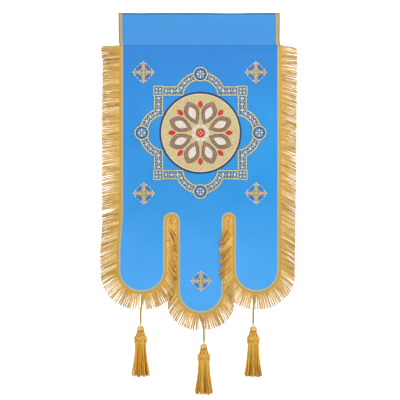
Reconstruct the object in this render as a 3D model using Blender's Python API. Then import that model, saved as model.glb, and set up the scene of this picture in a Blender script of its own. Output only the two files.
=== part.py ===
"""A hanging church banner: a blue cloth with three rounded tongues, gold fringe, embroidery and tassels.

Metres, +Z up. The cloth hangs in the XZ plane and its face looks along -Y. The origin is the middle of the
line inside the top of the pole sleeve, where a pole carries the banner.
"""

import math
import random
from collections import namedtuple

import bmesh
import bpy
from mathutils import Vector
from mathutils.geometry import delaunay_2d_cdt

# Cloth
CLOTH_WIDTH = 0.600
CLOTH_THICKNESS = 0.0016
CLOTH_TOP = -0.110  # the panel's top edge, hidden between the legs of the sleeve
CLOTH_FACET = 0.044
EDGE_FACET = 0.030
FINE_FACET = 0.017  # the rows of facets under the seam, where the cloth turns most
FINE_ABOVE = -0.205
CLEARANCE = 0.0004  # between pieces that are sewn face to face

# Pole sleeve
SLEEVE_RADIUS = 0.012
SLEEVE_BOTTOM = -0.120
SLEEVE_STEPS = 8
BRAID_THICKNESS = 0.001
BRAID_REACH = 0.002  # past the sleeve's end
BRAID_WIDTH = 0.0145
Sag = namedtuple("Sag", "x run depth")
SAGS = (Sag(0.120, 0.060, 0.0012), Sag(-0.230, 0.040, 0.0006))  # dips along the top of the sleeve

# Slots between the tongues: the middle and the width of each gap in the cloth
Slot = namedtuple("Slot", "middle width")
SLOTS = (Slot(-0.107, 0.042), Slot(0.1075, 0.033))
SLOT_TOP = -0.757
SIDE_TONGUE_BOTTOM = -1.049
MIDDLE_TONGUE_BOTTOM = -1.1275
ARC_STEP = math.radians(15)
SPREAD_BEGINS, SPREAD_FULL = -0.740, -0.900  # the left tongue swings outwards between these heights
SPREAD_INSIDE, SPREAD_OUTSIDE = -0.120, -0.290
LEFT_SPREAD = 0.010

# Fringe and its woven heading
HEADING_THICKNESS = 0.0014
HEADING_LAP = 0.0105  # how far the heading lies over the cloth's face
HEADING_REACH = 0.0045  # how far it stands past the cloth's edge
FRINGE_LENGTH = 0.062
LOCK_TIP_SHARE = 0.72  # a lock's tip is this share of its root's width
TIP_THINNER = 0.3  # and its thickness is less by this share on each face
FORWARD, BACK = -0.007, 0.007  # the locks of facing edges cross in front of and behind each other

# Embroidery, raised on the panel's face
STITCH_HEIGHT = 0.0008
MEDALLION_CENTRE = (0.001, -0.447)
MEDALLION_RADIUS = 0.1505
FRAME_HALF = 0.1745
FRAME_BAND = 0.0355
FRAME_CORNER = 0.0405
CORNER_PROUD = 0.0032  # how far a corner square stands past the band's outer edge
LOBE_DISTANCE = 0.1335
LOBE_RADIUS = 0.0965
LOBE_BAND = 0.0325
ROUNDEL_DISTANCE = 0.220
ROUNDEL_RADIUS = 0.028
CROSS_REACH = 0.043
CROSS_BAR, CROSS_BARB = 0.0052, 0.0125  # half the width of an arm and of its barbed end
CROSS_ARC = (0.030, 0.0353)  # the inner and outer radius of the arcs between arms
CROSS_CENTRES = {
    "cross_top_left": (-0.213, -0.221),
    "cross_top_right": (0.209, -0.221),
    "cross_low_left": (-0.211, -0.675),
    "cross_low_right": (0.210, -0.675),
    "cross_tongue": (0.003, -1.003),
}

# Tassels: where the cord leaves the heading, and the top of the tassel under it
Tassel = namedtuple("Tassel", "root_x tassel_x top_z")
TASSELS = {
    "left": Tassel(-0.2145, -0.2230, -1.170),
    "middle": Tassel(0.0050, 0.0140, -1.237),
    "right": Tassel(0.2030, 0.1990, -1.172),
}
CORD_DIAMETER = 0.005
CORD_STEPS = 10
CORD_STRAIGHT = 0.625  # from this share of its length on, the cord hangs plumb
TASSEL_LOCKS = 12
LOCK_SHARE = 0.88  # of the pitch at the tassel's head, the rest is the gap between two locks
HEAD_PROFILE = (  # radius and drop below the tassel's top
    (0.0050, 0.000),
    (0.0120, 0.006),
    (0.0135, 0.011),
    (0.0120, 0.016),
    (0.0170, 0.029),
    (0.0215, 0.042),
    (0.0235, 0.052),
    (0.0225, 0.062),
)
SKIRT_STEPS = ((0.0245, 0.095), (0.0295, 0.150), (0.0320, 0.190))  # outer radius and drop
SKIRT_WALL = 0.011

# Soft folds of the panel: a trough or ridge that runs along its slope and fades out
Fold = namedtuple("Fold", "x z slope run width depth")
FOLDS = (
    Fold(0.120, -0.148, 4, 0.200, 0.026, 0.0018),
    Fold(-0.170, -0.450, 88, 0.330, 0.110, -0.0030),
    Fold(0.190, -0.520, 92, 0.300, 0.105, -0.0035),
    Fold(0.020, -0.640, 90, 0.300, 0.100, 0.0030),
    Fold(-0.200, -0.990, 80, 0.150, 0.100, -0.0042),
    Fold(0.010, -1.080, 96, 0.160, 0.100, -0.0036),
    Fold(0.220, -0.960, 104, 0.150, 0.100, 0.0042),
)
FOLDS_BEGIN = -0.122
FOLDS_FULL = -0.180

BLUE = (0.045, 0.270, 0.780)
GOLD = (0.620, 0.350, 0.080)
PALE_GOLD = (0.700, 0.560, 0.310)
CREAM = (0.640, 0.520, 0.280)


def clear_scene():
    for old in list(bpy.data.objects):
        bpy.data.objects.remove(old, do_unlink=True)


def finish_of(name, colour, roughness, metallic):
    made = bpy.data.materials.new(name)
    made.use_nodes = True
    shader = made.node_tree.nodes["Principled BSDF"]
    shader.inputs["Base Color"].default_value = (*colour, 1.0)
    shader.inputs["Roughness"].default_value = roughness
    shader.inputs["Metallic"].default_value = metallic
    return made


def add_solid(name, mesh_maker, finish, smooth_below=None):
    """Turns a filled bmesh into an object of the scene."""
    mesh = bpy.data.meshes.new(name)
    mesh_maker.to_mesh(mesh)
    mesh_maker.free()
    if smooth_below is not None:
        mesh.shade_smooth()
        mesh.set_sharp_from_angle(angle=math.radians(smooth_below))
    mesh.materials.append(finish)
    solid = bpy.data.objects.new(name, mesh)
    bpy.context.scene.collection.objects.link(solid)
    return solid


def eased(share):
    share = min(1.0, max(0.0, share))
    return share * share * (3 - 2 * share)


def fold_depth(x, z):
    """How far the middle of the cloth stands back from the XZ plane."""
    depth = 0.0
    for fold in FOLDS:
        slope = math.radians(fold.slope)
        along = (x - fold.x) * math.cos(slope) + (z - fold.z) * math.sin(slope)
        across = (z - fold.z) * math.cos(slope) - (x - fold.x) * math.sin(slope)
        depth += fold.depth * math.exp(-((along / fold.run) ** 2) - (across / fold.width) ** 2)
    return depth * eased((FOLDS_BEGIN - z) / (FOLDS_BEGIN - FOLDS_FULL))


def hang(x, z, depth):
    """A point of the flat cut, at this depth behind the cloth's middle, where it hangs."""
    lowered = eased((SPREAD_BEGINS - z) / (SPREAD_BEGINS - SPREAD_FULL))
    swing = lowered * eased((SPREAD_INSIDE - x) / (SPREAD_INSIDE - SPREAD_OUTSIDE))
    return Vector((x - LEFT_SPREAD * swing, fold_depth(x, z) + depth, z))


class Straight:
    """A straight stretch of the cloth's edge. Its outward side is on the right of its run."""

    def __init__(self, start, end):
        self.start = Vector(start)
        self.length = (Vector(end) - self.start).length
        self.along = (Vector(end) - self.start) / self.length
        self.most_step = EDGE_FACET

    def at(self, distance):
        return self.start + self.along * distance, Vector((self.along.y, -self.along.x))


class Round:
    """A round stretch: turn is +1 round a tongue's end, whose centre is in the cloth, and -1 in an arch."""

    def __init__(self, centre, radius, turn):
        self.centre = Vector(centre)
        self.radius = radius
        self.turn = turn
        self.length = math.pi * radius
        self.most_step = ARC_STEP * radius

    def at(self, distance):
        swept = math.pi + self.turn * distance / self.radius
        spoke = Vector((math.cos(swept), math.sin(swept)))
        return self.centre + spoke * self.radius, spoke * self.turn


Stretch = namedtuple("Stretch", "edge pitch width droop leans cord_x", defaults=(None,))


def tongue_between(left, right, bottom):
    radius = (right - left) / 2
    return Round((left + radius, bottom + radius), radius, 1)


def fringed_edge():
    """The fringed edge: down the left side, round the tongues and slots, and up the right side.

    Each stretch has the pitch and root width of its locks, how many degrees they droop below the edge's
    outward direction at its two ends, how far their tips lean there, and where a cord hangs from it.
    """
    half = CLOTH_WIDTH / 2
    first, second = SLOTS
    left = tongue_between(-half, first.middle - first.width / 2, SIDE_TONGUE_BOTTOM)
    inner_left, inner_right = first.middle + first.width / 2, second.middle - second.width / 2
    middle = tongue_between(inner_left, inner_right, MIDDLE_TONGUE_BOTTOM)
    right = tongue_between(second.middle + second.width / 2, half, SIDE_TONGUE_BOTTOM)
    arches = [Round((slot.middle, SLOT_TOP - slot.width / 2), slot.width / 2, -1) for slot in SLOTS]

    def end_of(tongue, side):
        return (tongue.centre.x + side * tongue.radius, tongue.centre.y)

    top = SLEEVE_BOTTOM - CLEARANCE
    side_steps = (0.0162, 0.0118)
    slot_steps = (0.0140, 0.0062)
    round_steps = (0.0122, 0.0084)
    cords = [tassel.root_x for tassel in TASSELS.values()]
    return (
        Stretch(Straight((-half, top), end_of(left, -1)), *side_steps, (0, 20), (0, 0)),
        Stretch(left, *round_steps, (20, 60), (0, FORWARD), cords[0]),
        Stretch(Straight(end_of(left, 1), end_of(arches[0], -1)), *slot_steps, (60, 60), (FORWARD, FORWARD)),
        Stretch(arches[0], 0.0660, 0.0050, (0, 0), (0, 0)),
        Stretch(Straight(end_of(arches[0], 1), end_of(middle, -1)), *slot_steps, (60, 60), (BACK, BACK)),
        Stretch(middle, *round_steps, (60, 60), (BACK, BACK), cords[1]),
        Stretch(Straight(end_of(middle, 1), end_of(arches[1], -1)), *slot_steps, (60, 60), (BACK, BACK)),
        Stretch(arches[1], 0.0520, 0.0045, (0, 0), (0, 0)),
        Stretch(Straight(end_of(arches[1], 1), end_of(right, -1)), *slot_steps, (52, 52), (FORWARD, FORWARD)),
        Stretch(right, *round_steps, (52, 30), (FORWARD, 0), cords[2]),
        Stretch(Straight(end_of(right, 1), (half, top)), *side_steps, (30, 4), (0, 0)),
    )


def cloth_outline(stretches):
    """The panel's flat outline, from its top left corner down and round to its top right corner."""
    half = CLOTH_WIDTH / 2
    outline = [Vector((-half, CLOTH_TOP))]
    for stretch in stretches:
        steps = max(1, round(stretch.edge.length / stretch.edge.most_step))
        outline += [stretch.edge.at(stretch.edge.length * step / steps)[0] for step in range(steps)]
    outline.append(Vector((half, SLEEVE_BOTTOM - CLEARANCE)))
    outline.append(Vector((half, CLOTH_TOP)))
    steps = round(CLOTH_WIDTH / CLOTH_FACET)
    outline += [Vector((half - CLOTH_WIDTH * step / steps, CLOTH_TOP)) for step in range(1, steps)]
    return outline


def inside(point, outline):
    """Whether a flat point lies inside a closed outline."""
    within = False
    for here, after in zip(outline, outline[1:] + outline[:1], strict=True):
        if (here.y > point.y) != (after.y > point.y):
            crossing = here.x + (point.y - here.y) / (after.y - here.y) * (after.x - here.x)
            within ^= point.x < crossing
    return within


def grid_inside(outline):
    """Points in staggered rows that lie inside an outline, clear of its edge."""
    left, right = min(p.x for p in outline), max(p.x for p in outline)
    bottom, height = min(p.y for p in outline), max(p.y for p in outline)
    found = []
    row = 0
    while height > bottom:
        step = FINE_FACET if height > FINE_ABOVE else CLOTH_FACET
        height -= step
        row += 1
        for column in range(1, int((right - left) / CLOTH_FACET) + 1):
            point = Vector((left + CLOTH_FACET * (column + 0.5 * (row % 2) - 0.25), height))
            near = min((point - p).length for p in outline)
            if near > 0.5 * step and inside(point, outline):
                found.append(point)
    return found


def sheet_from(shapes, loose_points, front, back):
    """A closed sheet over the union of flat shapes, between two depths behind the hanging cloth's middle."""
    points, faces = [], []
    for shape in shapes:
        faces.append(list(range(len(points), len(points) + len(shape))))
        points += shape
    points += loose_points
    flat, _, triangles, _, _, sources = delaunay_2d_cdt(points, [], faces, 1, 1e-6)
    kept = [triangle for triangle, source in zip(triangles, sources, strict=True) if source]
    maker = bmesh.new()
    fronts = [maker.verts.new(hang(p.x, p.y, front)) for p in flat]
    backs = [maker.verts.new(hang(p.x, p.y, back)) for p in flat]
    directed = set()
    for triangle in kept:
        maker.faces.new([fronts[i] for i in triangle])
        maker.faces.new([backs[i] for i in reversed(triangle)])
        directed |= set(zip(triangle, triangle[1:] + triangle[:1], strict=True))
    for a, b in directed:
        if (b, a) not in directed:
            maker.faces.new((fronts[b], fronts[a], backs[a], backs[b]))
    loose = [vert for vert in maker.verts if not vert.link_faces]
    bmesh.ops.delete(maker, geom=loose, context="VERTS")
    return maker


def build_panel(stretches, finish):
    outline = cloth_outline(stretches)
    half = CLOTH_THICKNESS / 2
    maker = sheet_from([outline], grid_inside(outline), -half, half)
    add_solid("panel", maker, finish, 30)


def sleeve_wall(out):
    """(y, z) points this far out from the sleeve's inner face, from its front leg over to its back leg."""
    leg = CLOTH_THICKNESS / 2 + CLEARANCE
    turn = -SLEEVE_RADIUS
    front = [(-(leg + out), SLEEVE_BOTTOM), (-(leg + out), CLOTH_TOP)]
    for share in (0.8, 0.6, 0.4, 0.2):
        spread = leg + (SLEEVE_RADIUS - leg) * (1 - eased(share))
        front.append((-(spread + out), turn + (CLOTH_TOP - turn) * share))
    crown = []
    for step in range(9):
        angle = math.pi * step / 8
        radius = SLEEVE_RADIUS + out
        crown.append((-radius * math.cos(angle), turn + radius * math.sin(angle)))
    return front + crown + [(-y, z) for y, z in reversed(front)]


def sweep_wall(left, right, steps, inner, outer):
    """A bent strip of the sleeve's shape between two widths and two distances from its inner face."""
    maker = bmesh.new()
    loop = sleeve_wall(inner) + sleeve_wall(outer)[::-1]
    rings = []
    for step in range(steps + 1):
        x = left + (right - left) * step / steps
        sag = sum(dip.depth * math.exp(-(((x - dip.x) / dip.run) ** 2)) for dip in SAGS)
        rings.append([maker.verts.new((x, y, z - sag * eased((z - CLOTH_TOP) / 0.100))) for y, z in loop])
    for ring, after in zip(rings, rings[1:], strict=False):
        for i in range(len(loop)):
            j = (i + 1) % len(loop)
            maker.faces.new((ring[i], ring[j], after[j], after[i]))
    count = len(loop)
    for ring, flipped in ((rings[0], True), (rings[-1], False)):
        for i in range(count // 2 - 1):
            quad = [ring[i], ring[i + 1], ring[count - 2 - i], ring[count - 1 - i]]
            maker.faces.new(quad[::-1] if flipped else quad)
    bmesh.ops.recalc_face_normals(maker, faces=maker.faces)
    return maker


def build_sleeve(cloth, braid):
    half = CLOTH_WIDTH / 2
    add_solid("pole_sleeve", sweep_wall(-half, half, SLEEVE_STEPS, 0.0, CLOTH_THICKNESS), cloth, 40)
    under = CLOTH_THICKNESS + CLEARANCE
    over = under + BRAID_THICKNESS
    reach = half + BRAID_REACH
    lap = reach - BRAID_WIDTH
    add_solid("sleeve_braid_left", sweep_wall(-reach, -lap, 1, under, over), braid, 40)
    add_solid("sleeve_braid_right", sweep_wall(lap, reach, 1, under, over), braid, 40)


Station = namedtuple("Station", "point outward lock")
Lock = namedtuple("Lock", "direction length tip_width lean")


def turned(vector, degrees):
    angle = math.radians(degrees)
    return Vector((
        vector.x * math.cos(angle) - vector.y * math.sin(angle),
        vector.x * math.sin(angle) + vector.y * math.cos(angle),
    ))


def lock_places(stretch):
    """How far along a stretch its locks stand. Round a tongue they are counted from the cord's own place."""
    length, pitch = stretch.edge.length, stretch.pitch
    if stretch.cord_x is None:
        count = max(1, round(length / pitch))
        return [length * (number + 0.5) / count for number in range(count)]
    edge = stretch.edge
    cord_at = edge.radius * (math.asin((stretch.cord_x - edge.centre.x) / edge.radius) + math.pi / 2)
    reach = range(-int(length / pitch), int(length / pitch) + 1)
    places = [cord_at + pitch * number for number in reach if number != 0]
    return [place for place in places if stretch.width < place < length - stretch.width]


def droop_at(stretch, share):
    """Degrees below the edge's outward direction. Round a tongue they fade to none at its lowest point."""
    begins, ends = stretch.droop
    if stretch.cord_x is None:
        return begins + (ends - begins) * share
    return (begins if share < 0.5 else ends) * (2 * share - 1) ** 2


def stretch_stations(stretch, chance):
    """The stations of one stretch's heading, those that begin a lock naming it."""
    edge = stretch.edge
    stations = []

    def plain_until(start, end):
        steps = math.ceil((end - start) / edge.most_step)
        for step in range(1, steps):
            stations.append(Station(*edge.at(start + (end - start) * step / steps), None))

    done = 0.0
    for middle in lock_places(stretch):
        share = middle / edge.length
        begin, end = middle - stretch.width / 2, middle + stretch.width / 2
        plain_until(done, begin)
        outward = edge.at(middle)[1]
        droop = droop_at(stretch, share) + chance.uniform(-1.8, 1.8)
        lean = stretch.leans[0] + (stretch.leans[1] - stretch.leans[0]) * share
        lock = Lock(
            turned(outward, -math.copysign(droop, outward.x)),
            FRINGE_LENGTH * chance.uniform(0.92, 1.0),
            stretch.width * LOCK_TIP_SHARE,
            lean,
        )
        stations.append(Station(*edge.at(begin), lock))
        stations.append(Station(*edge.at(end), None))
        done = end
    plain_until(done, edge.length)
    return stations


def build_fringe(stretches, finish):
    """One woven heading sewn along the whole edge, with the fringe's locks growing out of its outer side."""
    chance = random.Random(7)
    stations = [Station(*stretches[0].edge.at(0.0), None)]
    for stretch in stretches:
        stations += stretch_stations(stretch, chance)
    last = stretches[-1].edge
    stations.append(Station(*last.at(last.length), None))
    back = -CLOTH_THICKNESS / 2 - CLEARANCE
    front = back - HEADING_THICKNESS
    maker = bmesh.new()
    rings = []
    for station in stations:
        inner = station.point - station.outward * HEADING_LAP
        outer = station.point + station.outward * HEADING_REACH
        rings.append([
            maker.verts.new(hang(inner.x, inner.y, front)),
            maker.verts.new(hang(outer.x, outer.y, front)),
            maker.verts.new(hang(outer.x, outer.y, back)),
            maker.verts.new(hang(inner.x, inner.y, back)),
        ])
    for station, ring, after in zip(stations, rings, rings[1:], strict=False):
        for side in (0, 2, 3):
            following = (side + 1) % 4
            maker.faces.new((ring[side], ring[following], after[following], after[side]))
        root = (ring[1], ring[2], after[2], after[1])
        if station.lock is None:
            maker.faces.new(root)
        else:
            add_lock(maker, root, station, front, back)
    maker.faces.new(rings[0][::-1])
    maker.faces.new(rings[-1])
    bmesh.ops.recalc_face_normals(maker, faces=maker.faces)
    add_solid("fringe", maker, finish)


def add_lock(maker, root, station, front, back):
    """A four-sided lock from its root in the heading to a narrower tip."""
    lock = station.lock
    begins = Vector((root[0].co.x, root[0].co.z))
    ends = Vector((root[3].co.x, root[3].co.z))
    end = (begins + ends) / 2 + lock.direction * lock.length
    across = Vector((-lock.direction.y, lock.direction.x)) * lock.tip_width / 2
    if across.dot(ends - begins) < 0:
        across = -across
    corners = []
    thin = TIP_THINNER * (back - front)
    near, far = front + thin, back - thin
    for shift, depth in ((-across, near), (-across, far), (across, far), (across, near)):
        place = end + shift
        corners.append(maker.verts.new((place.x, fold_depth(place.x, place.y) + depth + lock.lean, place.y)))
    for i in range(4):
        j = (i + 1) % 4
        maker.faces.new((root[i], root[j], corners[j], corners[i]))
    maker.faces.new(corners)


def ring_shapes(centre, inner, outer, start, end, steps):
    """Flat quads that together cover part of a ring."""
    shapes = []
    for step in range(steps):
        angles = [math.radians(start + (end - start) * (step + i) / steps) for i in (0, 1)]
        near = [centre + Vector((math.cos(a), math.sin(a))) * inner for a in angles]
        far = [centre + Vector((math.cos(a), math.sin(a))) * outer for a in angles]
        shapes.append([near[0], far[0], far[1], near[1]])
    return shapes


def disc_shape(centre, radius, count):
    return [Vector(centre) + turned(Vector((radius, 0)), 360 * step / count) for step in range(count)]


def box_shape(low, high):
    return [Vector(low), Vector((high[0], low[1])), Vector(high), Vector((low[0], high[1]))]


def strip_shapes(low, high, steps):
    """A long box cut across into steps."""
    cuts = [low[0] + (high[0] - low[0]) * step / steps for step in range(steps + 1)]
    return [box_shape((cuts[i], low[1]), (cuts[i + 1], high[1])) for i in range(steps)]


def placed(shapes, centre):
    return [[p + Vector(centre) for p in shape] for shape in shapes]


def quartered(shapes):
    """The shapes repeated at each quarter turn."""
    return [[turned(p, quarter * 90) for p in shape] for quarter in range(4) for shape in shapes]


def frame_shapes():
    """The embroidered frame: a square band with a round lobe on each side, corner squares and roundels."""
    inside_half = FRAME_HALF - FRAME_BAND
    inner_lobe = LOBE_RADIUS - LOBE_BAND
    meets = math.sqrt(inner_lobe**2 - (inside_half - LOBE_DISTANCE) ** 2)
    meets_at = math.degrees(math.asin((inside_half - LOBE_DISTANCE) / inner_lobe))
    bar = strip_shapes((meets + 0.0005, inside_half), (FRAME_HALF - FRAME_BAND / 2, FRAME_HALF), 3)
    side = bar + [[Vector((-x, y)) for x, y in reversed(shape)] for shape in bar]
    side += ring_shapes(Vector((0, LOBE_DISTANCE)), inner_lobe, LOBE_RADIUS, meets_at, 180 - meets_at, 11)
    side.append(disc_shape((0, ROUNDEL_DISTANCE), ROUNDEL_RADIUS, 12))
    corner_out = FRAME_HALF + CORNER_PROUD
    side.append(box_shape((corner_out - FRAME_CORNER, corner_out - FRAME_CORNER), (corner_out, corner_out)))
    return quartered(side)


def cross_shapes():
    """A traditional cross: pointed arms that widen to barbs, with an arc between each two arms."""
    neck, shoulder = 0.36 * CROSS_REACH, 0.66 * CROSS_REACH
    half_arm = [(0, CROSS_BAR), (neck, CROSS_BAR), (shoulder, CROSS_BARB)]
    arm = [Vector((x, -y)) for x, y in half_arm]
    arm += [Vector((CROSS_REACH, 0))] + [Vector(point) for point in reversed(half_arm)]
    arc = ring_shapes(Vector((0, 0)), *CROSS_ARC, 22, 68, 3)
    return quartered([arm, *arc])


def build_embroidery(gold, cream):
    back = -CLOTH_THICKNESS / 2 - CLEARANCE
    front = back - STITCH_HEIGHT
    rim = disc_shape(MEDALLION_CENTRE, MEDALLION_RADIUS, 40)
    add_solid("medallion_ground", sheet_from([rim], grid_inside(rim), front, back), cream, 30)
    frame = placed(frame_shapes(), MEDALLION_CENTRE)
    add_solid("medallion_frame", sheet_from(frame, [], front, back), gold, 30)
    for name, place in CROSS_CENTRES.items():
        add_solid(name, sheet_from(placed(cross_shapes(), place), [], front, back), gold, 30)


def heading_end(stretches, x):
    """The flat height of the heading's outer side at the end of the tongue that x is on."""
    for stretch in stretches:
        edge = stretch.edge
        if isinstance(edge, Round) and edge.turn > 0 and abs(x - edge.centre.x) < edge.radius:
            radius = edge.radius + HEADING_REACH
            return edge.centre.y - math.sqrt(radius**2 - (x - edge.centre.x) ** 2)
    raise ValueError("no tongue is at this place")


def build_cord(name, stretches, tassel, finish):
    """A cord that hangs from the heading at a tongue's end to its tassel."""
    root_z = heading_end(stretches, tassel.root_x) - CLEARANCE
    depth = fold_depth(tassel.root_x, root_z) - CLOTH_THICKNESS / 2 - CLEARANCE - HEADING_THICKNESS / 2
    top = Vector((tassel.root_x, depth, root_z))
    low = Vector((tassel.tassel_x, depth, tassel.top_z + CLEARANCE))
    points = []
    for step in range(CORD_STEPS + 1):
        share = step / CORD_STEPS
        aside = eased(share / CORD_STRAIGHT)
        points.append(Vector((top.x + (low.x - top.x) * aside, depth, top.z + (low.z - top.z) * share)))
    curve = bpy.data.curves.new("tassel_cord_" + name, "CURVE")
    curve.dimensions = "3D"
    curve.bevel_depth = CORD_DIAMETER / 2
    curve.bevel_resolution = 2
    curve.use_fill_caps = True
    spline = curve.splines.new("POLY")
    spline.points.add(len(points) - 1)
    for target, point in zip(spline.points, points, strict=True):
        target.co = (*point, 1.0)
    curve.materials.append(finish)
    cord = bpy.data.objects.new("tassel_cord_" + name, curve)
    bpy.context.scene.collection.objects.link(cord)
    return low


def tassel_angles():
    """The angles round the head at which each lock begins and ends."""
    pitch = 2 * math.pi / TASSEL_LOCKS
    half = LOCK_SHARE * pitch / 2
    return [pitch * number + side * half for number in range(TASSEL_LOCKS) for side in (-1, 1)]


def build_tassel(name, top, finish):
    """A turned head over a skirt of locks, whose roots are one with the head."""
    chance = random.Random(len(name))
    maker = bmesh.new()
    angles = tassel_angles()

    def ring(radius, drop):
        return [maker.verts.new((radius * math.cos(a), radius * math.sin(a), -drop)) for a in angles]

    rings = [ring(radius, drop) for radius, drop in HEAD_PROFILE]
    radius, drop = HEAD_PROFILE[-1]
    rings.append(ring(radius - SKIRT_WALL, drop))
    count = len(angles)
    maker.faces.new(rings[0])
    maker.faces.new(rings[-1])
    for number, (upper, lower) in enumerate(zip(rings, rings[1:], strict=False)):
        under_head = number == len(rings) - 2
        for i in range(count):
            j = (i + 1) % count
            quad = (upper[i], upper[j], lower[j], lower[i])
            if under_head and i % 2 == 0:
                add_skirt_lock(maker, quad, chance)
            else:
                maker.faces.new(quad)
    bmesh.ops.recalc_face_normals(maker, faces=maker.faces)
    solid = add_solid("tassel_" + name, maker, finish, 50)
    solid.location = top


def add_skirt_lock(maker, root, chance):
    """A lock of the skirt: it opens outwards in steps and ends at its own length."""
    shorter = chance.uniform(0.0, 0.006)
    above = root
    for number, (outer, drop) in enumerate(SKIRT_STEPS):
        last = number == len(SKIRT_STEPS) - 1
        radii = (outer, outer, outer - SKIRT_WALL, outer - SKIRT_WALL)
        corners = []
        for vert, radius in zip(root, radii, strict=True):
            spoke = Vector((vert.co.x, vert.co.y)).normalized() * radius
            corners.append(maker.verts.new((spoke.x, spoke.y, -drop + (shorter if last else 0.0))))
        for i in range(4):
            j = (i + 1) % 4
            maker.faces.new((above[i], above[j], corners[j], corners[i]))
        above = corners
    maker.faces.new(above)


def main():
    clear_scene()
    cloth = finish_of("blue_satin", BLUE, 0.50, 0.0)
    gold = finish_of("gold_yarn", GOLD, 0.45, 0.25)
    thread = finish_of("gold_thread", PALE_GOLD, 0.45, 0.15)
    ground = finish_of("cream_thread", CREAM, 0.60, 0.0)
    stretches = fringed_edge()
    build_panel(stretches, cloth)
    build_sleeve(cloth, gold)
    build_fringe(stretches, gold)
    build_embroidery(thread, ground)
    for name, tassel in TASSELS.items():
        low = build_cord(name, stretches, tassel, gold)
        build_tassel(name, low - Vector((0, 0, CLEARANCE)), gold)


main()
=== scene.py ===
"""A hanging church banner in blue satin with gold fringe, raised embroidery and three tassels."""

import math
import random
from collections import namedtuple

import bmesh
import bpy
import numpy as np
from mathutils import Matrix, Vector
from mathutils.geometry import delaunay_2d_cdt


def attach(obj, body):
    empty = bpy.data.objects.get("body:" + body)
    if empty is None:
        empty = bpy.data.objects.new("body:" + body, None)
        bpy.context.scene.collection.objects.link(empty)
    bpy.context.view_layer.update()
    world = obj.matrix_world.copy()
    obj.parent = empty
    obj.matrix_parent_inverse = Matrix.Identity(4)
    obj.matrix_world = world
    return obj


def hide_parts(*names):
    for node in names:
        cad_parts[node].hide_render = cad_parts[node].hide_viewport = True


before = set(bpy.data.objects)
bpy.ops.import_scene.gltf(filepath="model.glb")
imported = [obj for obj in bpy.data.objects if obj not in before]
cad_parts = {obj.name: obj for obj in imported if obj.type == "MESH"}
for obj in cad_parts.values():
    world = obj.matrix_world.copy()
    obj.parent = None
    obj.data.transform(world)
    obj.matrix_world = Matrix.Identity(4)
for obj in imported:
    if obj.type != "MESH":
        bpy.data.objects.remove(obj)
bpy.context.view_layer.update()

# Camera
# The banner hangs square to the view, seen with a long lens from 5 m, so its edges stay parallel.
VIEW_CENTRE = (-0.0006, -0.6998)  # X and Z of the middle of the picture
VIEW_WIDTH = 1.500
VIEW_DISTANCE = 5.0
SENSOR_MM = 36.0

lens = bpy.data.cameras.new("long_lens")
lens.sensor_width = SENSOR_MM
lens.lens = SENSOR_MM * VIEW_DISTANCE / VIEW_WIDTH
camera = bpy.data.objects.new("camera", lens)
camera.location = (VIEW_CENTRE[0], -VIEW_DISTANCE, VIEW_CENTRE[1])
camera.rotation_euler = (math.radians(90), 0, 0)
bpy.context.scene.collection.objects.link(camera)
bpy.context.scene.camera = camera
bpy.context.scene.view_settings.view_transform = "Standard"  # a plain studio photo, without film tones


# Tassel cords
# Three short cords of twisted gold yarn, each a doubled end sewn under the fringe heading of a tongue.
# Their plies part where they are sewn on, draw together within a finger's width, and hang plumb.
Tassel = namedtuple("Tassel", "root_x tassel_x top_z")
TASSELS = {
    "left": Tassel(-0.2145, -0.2230, -1.170),
    "middle": Tassel(0.0050, 0.0140, -1.237),
    "right": Tassel(0.2030, 0.1990, -1.172),
}
CORD_DIAMETER = 0.005
CORD_STEPS = 100
CORD_STRAIGHT = 0.625
CORD_SIDES = 18
PLY_HOLLOW = 0.16  # how far the groove between two plies goes in, as a share of the cord's radius
PLY_TWIST = 0.013
SEWN_RADIUS, SEWN_SPREAD, SEWN_SHARE, SEWN_RUN = 0.0014, 0.0046, 0.36, 0.98
SEWN_BESIDE, SEWN_FORWARD = 0.0013, 0.0004  # the outer sewn ends lie beside the cord and a little in front
SEWN_SIDES = 8
PLIES_MEET = 0.88
CLOTH_THICKNESS = 0.0016
CLEARANCE = 0.0004
HEADING_THICKNESS = 0.0014
HEADING_LAP, HEADING_REACH = 0.0105, 0.0045
CLOTH_WIDTH = 0.600
SLEEVE_BOTTOM = -0.120
CLOTH_TOP = -0.110
Slot = namedtuple("Slot", "middle width")
SLOTS = (Slot(-0.107, 0.042), Slot(0.1075, 0.033))
SLOT_TOP = -0.757
SIDE_TONGUE_BOTTOM = -1.049
MIDDLE_TONGUE_BOTTOM = -1.1275
Fold = namedtuple("Fold", "x z slope run width depth")
FOLDS = (
    Fold(0.120, -0.148, 4, 0.200, 0.026, 0.0018),
    Fold(-0.170, -0.450, 88, 0.330, 0.110, -0.0030),
    Fold(0.190, -0.520, 92, 0.300, 0.105, -0.0035),
    Fold(0.020, -0.640, 90, 0.300, 0.100, 0.0030),
    Fold(-0.200, -0.990, 80, 0.150, 0.100, -0.0042),
    Fold(0.010, -1.080, 96, 0.160, 0.100, -0.0036),
    Fold(0.220, -0.960, 104, 0.150, 0.100, 0.0042),
)
CREASES = (  # pulled in by the seam, and pressed in while the banner lay folded
    Fold(0.200, -0.141, 3, 0.085, 0.0130, 0.0042),
    Fold(-0.020, -0.136, 1, 0.120, 0.0100, 0.0012),
    Fold(0.185, -0.930, -25, 0.055, 0.0075, 0.0008),
    Fold(0.004, -0.887, 3, 0.060, 0.0070, 0.0005),
    Fold(-0.205, -0.905, -12, 0.050, 0.0090, 0.0004),
    Fold(0.060, -0.200, 2, 0.160, 0.0100, 0.0004),
    Fold(-0.100, -0.712, 6, 0.090, 0.0110, 0.0004),
    Fold(0.215, -0.150, 8, 0.060, 0.0085, 0.0006),
)
FOLDS_BEGIN, FOLDS_FULL = -0.122, -0.180
SPREAD_BEGINS, SPREAD_FULL = -0.740, -0.900
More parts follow.
